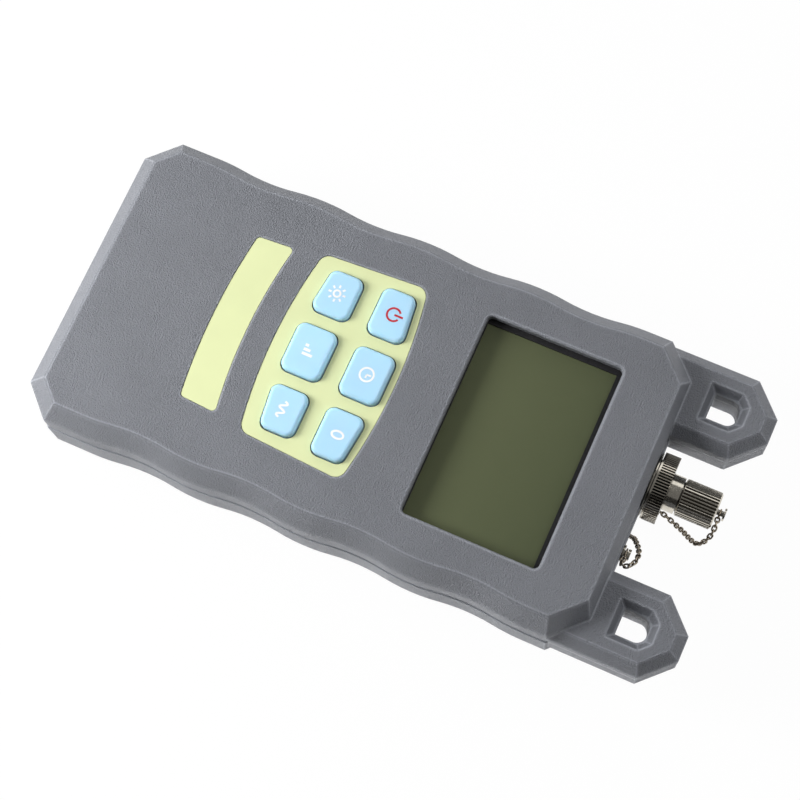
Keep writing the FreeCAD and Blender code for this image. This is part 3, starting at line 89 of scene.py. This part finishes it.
# The case's sharp edges are shaded with a mould radius, and painted paler by a factor as a highlight.
# An edge is where the rounded normal agrees less with the true one than NO_EDGE, and fully so at FULL_EDGE.
EDGE_RADIUS = 1.0 * MM
EDGE_HIGHLIGHT_GAIN = 2.0
NO_EDGE, FULL_EDGE = 0.995, 0.95

# Painted shade and dirt darken metal where its own flanks, within a reach, leave it less than a share of the
# open side.
GROOVE_REACH = 0.6 * MM
GROOVE_SHADE = 0.12
OPEN_METAL, SHUT_METAL = 0.95, 0.45

# The display's painted light and shade: how much of it runs across and along, and the factors of its colour
# at the keys' end, painted lighter, and at the port's end, painted darker.
LCD_LEAN = (0.48, 1.52)
LCD_FOOT_PAINTED_LIGHT = (1.29, 1.27, 1.29)
LCD_HEAD_PAINTED_SHADE = (0.82, 0.84, 0.82)


class Paint:
    """A Principled material with procedural variation on object coordinates."""

    def __init__(self, name, color, roughness, metallic=0.0, specular=0.5):
        self.material = bpy.data.materials.new(name)
        self.material.use_nodes = True
        self.tree = self.material.node_tree
        self.shader = self.tree.nodes["Principled BSDF"]
        self.color = color
        self.roughness = roughness
        self.set("Base Color", (*color, 1))
        self.set("Roughness", roughness)
        self.set("Metallic", metallic)
        self.set("Specular IOR Level", specular)
        self.place = self.add("ShaderNodeTexCoord").outputs["Object"]
        self.height = None

    def set(self, socket, value):
        self.shader.inputs[socket].default_value = value

    def add(self, kind, **settings):
        node = self.tree.nodes.new(kind)
        for key, value in settings.items():
            setattr(node, key, value)
        return node

    def link(self, source, target):
        self.tree.links.new(source, target)

    def noise(self, size, detail=2.0):
        """Noise whose features are about size metres across."""
        noise = self.add("ShaderNodeTexNoise")
        noise.inputs["Scale"].default_value = 1 / size
        noise.inputs["Detail"].default_value = detail
        self.link(self.place, noise.inputs["Vector"])
        return noise.outputs["Fac"]

    def shade(self, factors):
        """The plain colour times one factor, or times one for each channel."""
        if not isinstance(factors, tuple):
            factors = (factors,) * 3
        return (*[min(channel * factor, 1) for channel, factor in zip(self.color, factors)], 1)

    def spread(self, value, low, high, start=0.3, end=0.7):
        """A value mapped from start..end to low..high, as noise fills start..end."""
        span = self.add("ShaderNodeMapRange")
        for socket, number in (("From Min", start), ("From Max", end), ("To Min", low), ("To Max", high)):
            span.inputs[socket].default_value = number
        self.link(value, span.inputs["Value"])
        return span.outputs["Result"]

    def tint(self, value, dark, light):
        """Base colour between two shades, as the value goes from 0 to 1."""
        mix = self.add("ShaderNodeMix", data_type="RGBA")
        mix.inputs["A"].default_value = self.shade(dark)
        mix.inputs["B"].default_value = self.shade(light)
        self.link(value, mix.inputs["Factor"])
        self.link(mix.outputs["Result"], self.shader.inputs["Base Color"])

    def shade_and_dirt_in_grooves(self, reach, dark):
        """Painted shade and dirt where the surface is closed in, such as at the foot of flutes."""
        cover = self.add("ShaderNodeAmbientOcclusion", samples=6)
        cover.inputs["Distance"].default_value = reach
        mix = self.add("ShaderNodeMix", data_type="RGBA")
        self.link(self.spread(cover.outputs["AO"], 0, 1, SHUT_METAL, OPEN_METAL), mix.inputs["Factor"])
        mix.inputs["A"].default_value = self.shade(dark)
        self.link(self.shader.inputs["Base Color"].links[0].from_socket, mix.inputs["B"])
        self.link(mix.outputs["Result"], self.shader.inputs["Base Color"])

    def vary_roughness(self, value, spread):
        self.link(self.spread(value, self.roughness - spread, self.roughness + spread),
                  self.shader.inputs["Roughness"])

    def round_and_highlight_edges(self, radius, gain):
        """Shades sharp edges as small mould radii, and paints them paler as a highlight."""
        bevel = self.add("ShaderNodeBevel", samples=6)
        bevel.inputs["Radius"].default_value = radius
        self.height = bevel.outputs["Normal"]
        self.link(self.height, self.shader.inputs["Normal"])
        across = self.add("ShaderNodeVectorMath", operation="DOT_PRODUCT")
        self.link(self.height, across.inputs[0])
        self.link(self.add("ShaderNodeNewGeometry").outputs["Normal"], across.inputs[1])
        # Painted highlight: the edges take a paler colour than the plain one
        mix = self.add("ShaderNodeMix", data_type="RGBA")
        self.link(self.spread(across.outputs["Value"], 0, 1, NO_EDGE, FULL_EDGE), mix.inputs["Factor"])
        self.link(self.shader.inputs["Base Color"].links[0].from_socket, mix.inputs["A"])
        mix.inputs["B"].default_value = self.shade(gain)
        self.link(mix.outputs["Result"], self.shader.inputs["Base Color"])

    def bump(self, value, depth, strength=1.0):
        """Relief of a given depth in metres, on top of any earlier relief."""
        bump = self.add("ShaderNodeBump")
        bump.inputs["Strength"].default_value = strength
        bump.inputs["Distance"].default_value = depth
        self.link(value, bump.inputs["Height"])
        if self.height:
            self.link(self.height, bump.inputs["Normal"])
        self.height = bump.outputs["Normal"]
        self.link(self.height, self.shader.inputs["Normal"])


def moulded_plastic(name, color, roughness, grain, depth):
    """Plastic from a spark-eroded mould: a fine even grain and a faint cloudiness."""
    paint = Paint(name, color, roughness, specular=0.32)
    cloud = paint.noise(0.018, 3.0)
    paint.tint(paint.spread(cloud, 0, 1), 0.95, 1.05)
    paint.round_and_highlight_edges(EDGE_RADIUS, EDGE_HIGHLIGHT_GAIN)
    fine = paint.noise(grain, 3.0)
    paint.vary_roughness(fine, 0.06)
    paint.bump(fine, depth)
    return paint.material


def metal(name, color, roughness, grain=0.0004, tarnish=0.25):
    """Plated metal: fine scratches, darker patches, and painted shade and dirt in its grooves."""
    paint = Paint(name, color, roughness, metallic=1.0)
    patches = paint.noise(0.0022, 4.0)
    paint.tint(paint.spread(patches, 0, 1, 0.35, 0.65), 1 - tarnish, 1.08)
    # Painted shade, with dirt, at the foot of the grooves
    paint.shade_and_dirt_in_grooves(GROOVE_REACH, GROOVE_SHADE)
    streaks = paint.noise(grain)
    paint.vary_roughness(streaks, 0.07)
    paint.bump(streaks, 0.00001, 0.4)
    return paint.material


def soft_rubber(name, color):
    """Matt rubber with a fine grain."""
    paint = Paint(name, color, 0.75, specular=0.3)
    fine = paint.noise(0.0006, 2.0)
    paint.tint(paint.spread(paint.noise(0.006, 2.0), 0, 1), 0.85, 1.1)
    paint.vary_roughness(fine, 0.05)
    paint.bump(fine, 0.00002, 0.5)
    return paint.material


def silicone(name, color):
    """Silicone rubber of the keys: smooth, and a little light passes through its sides."""
    paint = Paint(name, color, 0.5, specular=0.4)
    paint.tint(paint.spread(paint.noise(0.018, 3.0), 0, 1), 0.97, 1.03)
    fine = paint.noise(0.0005, 3.0)
    paint.vary_roughness(fine, 0.06)
    paint.bump(fine, 0.00001)
    paint.set("Subsurface Weight", 0.35)
    paint.set("Subsurface Radius", (0.5, 0.9, 1.0))
    paint.set("Subsurface Scale", 0.002)
    return paint.material


def printed_film(name, color):
    """Polycarbonate film printed on its underside: satin, with a faint orange-peel."""
    paint = Paint(name, color, 0.42, specular=0.45)
    paint.tint(paint.spread(paint.noise(0.012, 2.0), 0, 1), 0.97, 1.02)
    peel = paint.noise(0.0009, 2.0)
    paint.vary_roughness(peel, 0.04)
    paint.bump(peel, 0.00001, 0.6)
    return paint.material


def display_surface(name, color):
    """An unlit liquid crystal display: flat olive, with painted light at the keys' end and painted shade
    towards the port and a little towards +X.
    """
    paint = Paint(name, color, 0.35, specular=0.25)
    low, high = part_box("display_glass")
    spot = paint.add("ShaderNodeMapping")
    span = high - low
    across, along = LCD_LEAN[0] / span.x, LCD_LEAN[1] / span.y
    spot.inputs["Location"].default_value = (-low.x * across, -low.y * along, 0)
    spot.inputs["Scale"].default_value = (across, along, 1)
    paint.link(paint.place, spot.inputs["Vector"])
    gradient = paint.add("ShaderNodeTexGradient", gradient_type="DIAGONAL")
    paint.link(spot.outputs["Vector"], gradient.inputs["Vector"])
    # Painted light at the keys' end and painted shade at the port's end, in place of how the light falls
    paint.tint(gradient.outputs["Fac"], LCD_FOOT_PAINTED_LIGHT, LCD_HEAD_PAINTED_SHADE)
    paint.vary_roughness(paint.noise(0.004, 2.0), 0.03)
    return paint.material


def clear_pane(name):
    """Clear acrylic with a light haze."""
    paint = Paint(name, (0.02, 0.02, 0.02), 0.06, specular=0.5)
    paint.set("Alpha", 0.07)
    haze = paint.noise(0.01, 3.0)
    paint.vary_roughness(haze, 0.02)
    return paint.material


def circuit_board(name, color):
    """Solder mask over copper: tracks show as a slightly lighter cell pattern."""
    paint = Paint(name, color, 0.35)
    tracks = paint.add("ShaderNodeTexVoronoi", distance="CHEBYCHEV")
    tracks.inputs["Scale"].default_value = 420
    paint.link(paint.place, tracks.inputs["Vector"])
    paint.tint(paint.spread(tracks.outputs["Distance"], 0, 1, 0.2, 0.6), 0.8, 1.6)
    paint.bump(tracks.outputs["Distance"], 0.00003, 0.4)
    return paint.material


def glazed(name, color, roughness=0.2):
    """Smooth moulded or fired piece."""
    paint = Paint(name, color, roughness)
    paint.tint(paint.spread(paint.noise(0.005, 2.0), 0, 1), 0.93, 1.04)
    paint.vary_roughness(paint.noise(0.0015, 2.0), 0.04)
    return paint.material


MATERIALS = {
    "case": moulded_plastic("case_grey", CASE_GREY, 0.55, 0.00038, 0.00045),
    "film": printed_film("film_yellow", FILM_YELLOW),
    "key": silicone("key_blue", KEY_BLUE),
    "pane": clear_pane("pane_clear"),
    "lcd": display_surface("display_olive", (0.116, 0.133, 0.067)),
    "light_guide": glazed("light_guide_white", (0.8, 0.82, 0.78), 0.4),
    "black_rubber": soft_rubber("rubber_black", (0.022, 0.022, 0.024)),
    "black_plastic": glazed("plastic_black", (0.02, 0.02, 0.022), 0.45),
    "circuit_board": circuit_board("board_green", (0.02, 0.16, 0.06)),
    "steel": metal("steel_plain", (0.55, 0.55, 0.56), 0.32),
    "nickel": metal("nickel_plated", (0.64, 0.60, 0.52), 0.18, tarnish=0.08),
    "chain": metal("chain_dark", (0.42, 0.36, 0.28), 0.28, 0.0003, tarnish=0.35),
    "ceramic": glazed("ceramic_white", (0.9, 0.89, 0.86)),
    "cell_jacket": glazed("cell_sleeve", (0.05, 0.05, 0.055), 0.3),
}
SLOTS = {row["node"]: row["material_slot"] for row in frame["record"]["subparts"]}


def dress_nodes():
    """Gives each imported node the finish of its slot, and nothing else."""
    for name, thing in NODES.items():
        thing.data.materials.clear()
        thing.data.materials.append(MATERIALS[SLOTS[name]])


# ---------------------------------------------------------------------------------------
# Small helpers for new pieces
# ---------------------------------------------------------------------------------------
def new_piece(name, mesh, slot, body, material=None):
    """A piece made in the row frame, riding on a body."""
    piece = bpy.data.objects.new(name, mesh)
    bpy.context.scene.collection.objects.link(piece)
    mesh.materials.append(material or MATERIALS[slot])
    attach(piece, body)
    return piece


def mesh_from(name, build, smooth=True):
    """A mesh made by a function that fills a bmesh."""
    mesh = bpy.data.meshes.new(name)
    work = bmesh.new()
    build(work)
    bmesh.ops.recalc_face_normals(work, faces=work.faces)
    work.to_mesh(mesh)
    work.free()
    mesh.polygons.foreach_set("use_smooth", [smooth] * len(mesh.polygons))
    return mesh


def heading(points, index, closed):
    """The way a path goes at one of its points."""
    count = len(points)
    before = points[index - 1] if closed or index else points[index]
    after = points[(index + 1) % count] if closed or index < count - 1 else points[index]
    return (after - before).normalized()


def closed_tube(work, spots, normal, radius, sides):
    """A round tube along a closed path that lies across a normal."""
    rings = []
    for index, spot in enumerate(spots):
        side = heading(spots, index, True).cross(normal).normalized()
        turns = [2 * math.pi * step / sides for step in range(sides)]
        rings.append([work.verts.new(spot + (normal * math.cos(turn) + side * math.sin(turn)) * radius)
                      for turn in turns])
    for index, low in enumerate(rings):
        high = rings[(index + 1) % len(rings)]
        for step in range(sides):
            after = (step + 1) % sides
            work.faces.new((low[step], low[after], high[after], high[step]))


# ---------------------------------------------------------------------------------------
# Chain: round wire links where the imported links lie
# ---------------------------------------------------------------------------------------
WIRE_RADIUS = 0.23 * MM
WIRE_SIDES = 8
BEND_STEPS = 6
WELD = 0.002 * MM      # corners nearer than this are one corner


def islands(mesh):
    """Corner points of each separate shell of a mesh."""
    work = bmesh.new()
    work.from_mesh(mesh)
    bmesh.ops.remove_doubles(work, verts=work.verts, dist=WELD)
    seen, groups = set(), []
    for start in work.verts:
        if start in seen:
            continue
        group, queue = [], [start]
        seen.add(start)
        while queue:
            vert = queue.pop()
            group.append(vert.co.copy())
            for edge in vert.link_edges:
                other = edge.other_vert(vert)
                if other not in seen:
                    seen.add(other)
                    queue.append(other)
        groups.append(group)
    work.free()
    return groups


def link_path(points):
    """Centre, directions and half sizes of a link from its corner points."""
    cloud = np.array([point[:] for point in points])
    centre = cloud.mean(axis=0)
    spread = np.linalg.svd(cloud - centre, full_matrices=False)[2]
    halves = [np.abs((cloud - centre) @ axis).max() for axis in spread]
    return Vector(centre), [Vector(axis) for axis in spread], halves


def build_chain():
    """A link of round wire in the place, plane and size of each packed link."""
    def build(work):
        for points in islands(NODES["cap_chain"].data):
            centre, (way, across, normal), (half_long, half_wide, _) = link_path(points)
            arc = half_wide - WIRE_RADIUS
            straight = max(half_long - half_wide, 0)
            spots = []
            for end in (1, -1):
                for step in range(BEND_STEPS + 1):
                    turn = math.pi * (step / BEND_STEPS - 0.5) + (0 if end > 0 else math.pi)
                    spots.append(centre + way * (math.cos(turn) * arc + end * straight)
                                 + across * math.sin(turn) * arc)
            if straight == 0:
                spots = spots[:BEND_STEPS] + spots[BEND_STEPS + 1:-1]
            closed_tube(work, spots, normal, WIRE_RADIUS, WIRE_SIDES)

    chain = new_piece("chain_links", mesh_from("chain_links", build), "chain", "root")
    chain.parent = None
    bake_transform(chain)
    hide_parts("cap_chain")


# ---------------------------------------------------------------------------------------
# Key signs: thin raised print in the middle of each key
# ---------------------------------------------------------------------------------------
PRINT_LIFT = 0.03 * MM
ARC_STEPS = 28
WAVE_STEPS = 32
WHITE_PRINT = glazed("print_white", (0.95, 0.96, 0.96), 0.45)
RED_PRINT = glazed("print_red", (0.52, 0.004, 0.018), 0.5)


def ribbon(work, points, width, closed=False):
    """A flat stroke of even width along points in the XY plane."""
    count = len(points)
    sides = []
    for index, point in enumerate(points):
        way = heading(points, index, closed)
        across = Vector((-way.y, way.x, 0)) * width / 2
        sides.append((point + across, point - across))
    verts = [[work.verts.new(corner + Vector((0, 0, level))) for corner in pair for level in (0, PRINT_LIFT)]
             for pair in sides]
    last = count if closed else count - 1
    for index in range(last):
        a, b = verts[index], verts[(index + 1) % count]
        for first, second in ((0, 1), (1, 3), (3, 2), (2, 0)):
            work.faces.new((a[first], a[second], b[second], b[first]))
    if not closed:
        work.faces.new([verts[0][i] for i in (0, 1, 3, 2)])
        work.faces.new([verts[-1][i] for i in (2, 3, 1, 0)])


def arc_points(centre, radius, start, end, squeeze=1.0):
    """Points on an arc, angles in degrees from +X."""
    turns = [math.radians(start + (end - start) * k / ARC_STEPS) for k in range(ARC_STEPS + 1)]
    return [centre + Vector((math.cos(turn) * radius * squeeze, math.sin(turn) * radius, 0))
            for turn in turns]


def power_sign(work, centre):
    """A broken ring and a bar through its gap."""
    ribbon(work, arc_points(centre, 1.7 * MM, 120, 420), 0.5 * MM)
    ribbon(work, [centre + Vector((0, 0.2 * MM, 0)), centre + Vector((0, 2.5 * MM, 0))], 0.5 * MM)


def lamp_sign(work, centre):
    """A small sun: a ring and eight rays."""
    ribbon(work, arc_points(centre, 0.85 * MM, 0, 360)[:-1], 0.5 * MM, closed=True)
    for step in range(8):
        turn = math.radians(45 * step)
        way = Vector((math.cos(turn), math.sin(turn), 0))
        ribbon(work, [centre + way * 1.5 * MM, centre + way * 2.3 * MM], 0.5 * MM)


def zero_sign(work, centre):
    """A nought."""
    ribbon(work, arc_points(centre, 1.5 * MM, 0, 360, squeeze=0.62)[:-1], 0.55 * MM, closed=True)


def level_sign(work, centre):
    """Three rising bars."""
    for step, height in enumerate((0.9, 1.8, 2.7)):
        foot = centre + Vector(((step - 1) * 1.15 * MM, -1.35 * MM, 0))
        ribbon(work, [foot, foot + Vector((0, height * MM, 0))], 0.7 * MM)


def wave_sign(work, centre):
    """Two periods of a wave."""
    points = []
    for step in range(WAVE_STEPS + 1):
        share = step / WAVE_STEPS
        lift = math.sin(4 * math.pi * share) * 0.9 * MM
        points.append(centre + Vector(((share - 0.5) * 4.2 * MM, lift, 0)))
    ribbon(work, points, 0.52 * MM)


def timer_sign(work, centre):
    """A clock face with two hands."""
    ribbon(work, arc_points(centre, 1.75 * MM, 0, 360)[:-1], 0.5 * MM, closed=True)
    ribbon(work, [centre, centre + Vector((0, 1.2 * MM, 0))], 0.45 * MM)
    ribbon(work, [centre, centre + Vector((0.9 * MM, 0, 0))], 0.45 * MM)


SIGNS = {
    "power": (power_sign, RED_PRINT),
    "auto_off": (timer_sign, WHITE_PRINT),
    "zero": (zero_sign, WHITE_PRINT),
    "light": (lamp_sign, WHITE_PRINT),
    "db": (level_sign, WHITE_PRINT),
    "wavelength": (wave_sign, WHITE_PRINT),
}


def build_key_signs():
    """A sign on each key, with a third of the print's depth in the key."""
    for key, (draw, ink) in SIGNS.items():
        low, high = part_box("key_" + key)
        centre = Vector(((low.x + high.x) / 2, (low.y + high.y) / 2, high.z - PRINT_LIFT / 3))
        mesh = mesh_from(key + "_sign", lambda work: draw(work, centre), smooth=False)
        new_piece(key + "_sign", mesh, "key", f"key_{key}_body", ink)


# ---------------------------------------------------------------------------------------
# Studio
# ---------------------------------------------------------------------------------------
# Soft light around the meter: compass angle from +X in degrees, strength, and from what height
# to what height on the unit sphere. All but the last come from a light table below the horizon.
# It reaches the walls through the floor, which stops part of it, so that the strengths are larger
# than the light that arrives.
SOFT_LIGHTS = (
    (-15, 15.3, -0.92, -0.5),
    (-90, 4.6, -0.71, 0.0),
    (90, 0.9, -0.71, 0.0),
    (180, 2.0, -0.71, 0.0),
    (180, 1.15, 0.0, 0.77),
)
UNDER_LIGHT = 0.8      # straight below, so that the back isn't black
UNDER_TOP = -0.71      # height that it ends at
OVER_LIGHT = 0.14      # straight above
OVER_FOOT = 0.77       # height that it starts at
DIM_LIGHT = 0.03       # everywhere
RIM = 0.01             # keeps the compass term finite straight above and below

# Lamps: name, the way to it from the meter, distance, side and power in metres and watts
LAMPS = (
    ("key_lamp", (0.25, -0.79, 0.54), 0.45, 0.20, 2.45),
    ("head_lamp", (0.0, 0.8, 0.6), 1.1, 0.6, 1.3),
    ("top_lamp", (-0.23, 0.42, 0.88), 1.1, 0.4, 2.2),
)

FLOOR_SIDE = 3.0
FLOOR_GLOW = 0.97      # share of plain white in the floor; the rest of it keeps the meter's shadow


def build_floor():
    """A floor that is white to the camera and in gloss, and lets the light table through to the walls."""
    bpy.ops.mesh.primitive_plane_add(size=FLOOR_SIDE, location=(0, 0, cad_bounds[0][2]))
    floor = bpy.context.object
    floor.name = "floor"
    floor.visible_diffuse = False
    material = bpy.data.materials.new("floor_white")
    material.use_nodes = True
    tree = material.node_tree
    shader = tree.nodes["Principled BSDF"]
    shader.inputs["Base Color"].default_value = (0.9, 0.9, 0.9, 1)
    shader.inputs["Roughness"].default_value = 0.9
    light = tree.nodes.new("ShaderNodeEmission")
    light.inputs["Strength"].default_value = 1.0
    path = tree.nodes.new("ShaderNodeLightPath")
    seen = tree.nodes.new("ShaderNodeMath")
    seen.operation = "MAXIMUM"
    tree.links.new(path.outputs["Is Camera Ray"], seen.inputs[0])
    tree.links.new(path.outputs["Is Glossy Ray"], seen.inputs[1])
    share = tree.nodes.new("ShaderNodeMath")
    share.operation = "MULTIPLY"
    share.inputs[1].default_value = FLOOR_GLOW
    tree.links.new(seen.outputs["Value"], share.inputs[0])
    mix = tree.nodes.new("ShaderNodeMixShader")
    tree.links.new(share.outputs["Value"], mix.inputs["Fac"])
    tree.links.new(shader.outputs["BSDF"], mix.inputs[1])
    tree.links.new(light.outputs["Emission"], mix.inputs[2])
    # From below the floor is clear, so that the battery door can be looked at
    under = tree.nodes.new("ShaderNodeMixShader")
    tree.links.new(tree.nodes.new("ShaderNodeNewGeometry").outputs["Backfacing"], under.inputs["Fac"])
    tree.links.new(mix.outputs["Shader"], under.inputs[1])
    tree.links.new(tree.nodes.new("ShaderNodeBsdfTransparent").outputs["BSDF"], under.inputs[2])
    tree.links.new(under.outputs["Shader"], tree.nodes["Material Output"].inputs["Surface"])
    floor.data.materials.append(material)


def build_world():
    """White where the camera looks; for everything else a light table below and a dim room above."""
    world = bpy.data.worlds.new("studio")
    bpy.context.scene.world = world
    world.use_nodes = True
    tree = world.node_tree
    tree.nodes.clear()

    def calc(operation, *terms):
        node = tree.nodes.new("ShaderNodeMath")
        node.operation = operation
        for socket, term in zip(node.inputs, terms):
            if isinstance(term, bpy.types.NodeSocket):
                tree.links.new(term, socket)
            else:
                socket.default_value = term
        return node.outputs["Value"]

    place = tree.nodes.new("ShaderNodeTexCoord")
    split = tree.nodes.new("ShaderNodeSeparateXYZ")
    tree.links.new(place.outputs["Generated"], split.inputs["Vector"])
    height = split.outputs["Z"]
    flat = calc("MAXIMUM", calc("SUBTRACT", 1.0, calc("POWER", height, 2.0)), RIM)
    total = calc("ADD", calc("MULTIPLY", calc("LESS_THAN", height, UNDER_TOP), UNDER_LIGHT), DIM_LIGHT)
    total = calc("ADD", calc("MULTIPLY", calc("GREATER_THAN", height, OVER_FOOT), OVER_LIGHT), total)
    for compass, strength, low, high in SOFT_LIGHTS:
        turn = math.radians(compass)
        along = calc("ADD", calc("MULTIPLY", split.outputs["X"], math.cos(turn)),
                     calc("MULTIPLY", split.outputs["Y"], math.sin(turn)))
        along = calc("MAXIMUM", along, 0.0)
        lobe = calc("DIVIDE", calc("MULTIPLY", along, along), flat)
        band = calc("MULTIPLY", calc("GREATER_THAN", height, low), calc("LESS_THAN", height, high))
        total = calc("ADD", total, calc("MULTIPLY", calc("MULTIPLY", lobe, band), strength))

    glow = tree.nodes.new("ShaderNodeBackground")
    tree.links.new(total, glow.inputs["Strength"])
    glow.inputs["Color"].default_value = (1.0, 1.0, 1.0, 1)
    white = tree.nodes.new("ShaderNodeBackground")
    white.inputs["Color"].default_value = (1.0, 1.0, 1.0, 1)
    path = tree.nodes.new("ShaderNodeLightPath")
    mix = tree.nodes.new("ShaderNodeMixShader")
    tree.links.new(path.outputs["Is Camera Ray"], mix.inputs["Fac"])
    tree.links.new(glow.outputs["Background"], mix.inputs[1])
    tree.links.new(white.outputs["Background"], mix.inputs[2])
    output = tree.nodes.new("ShaderNodeOutputWorld")
    tree.links.new(mix.outputs["Shader"], output.inputs["Surface"])


def add_lamp(name, way, distance, size, power):
    """A square softbox that looks at the meter from a direction."""
    data = bpy.data.lights.new(name, "AREA")
    data.shape = "SQUARE"
    data.size = size
    data.energy = power
    lamp = bpy.data.objects.new(name, data)
    way = Vector(way).normalized()
    lamp.location = way * distance
    lamp.rotation_euler = way.to_track_quat("Z", "Y").to_euler()
    bpy.context.scene.collection.objects.link(lamp)


def build_camera():
    """The photograph's camera."""
    data = bpy.data.cameras.new("camera")
    data.lens = LENS
    data.sensor_width = SENSOR
    camera = bpy.data.objects.new("camera", data)
    back = -CAMERA_LOOK.normalized()
    right = CAMERA_UP.cross(back).normalized()
    up = back.cross(right)
    turn = Matrix((right, up, back)).transposed().to_4x4()
    camera.matrix_world = Matrix.Translation(CAMERA_PLACE) @ turn
    bpy.context.scene.collection.objects.link(camera)
    bpy.context.scene.camera = camera


dress_nodes()
build_chain()
build_key_signs()
build_floor()
build_world()
for lamp in LAMPS:
    add_lamp(*lamp)
build_camera()
bpy.context.scene.view_settings.view_transform = "Standard"
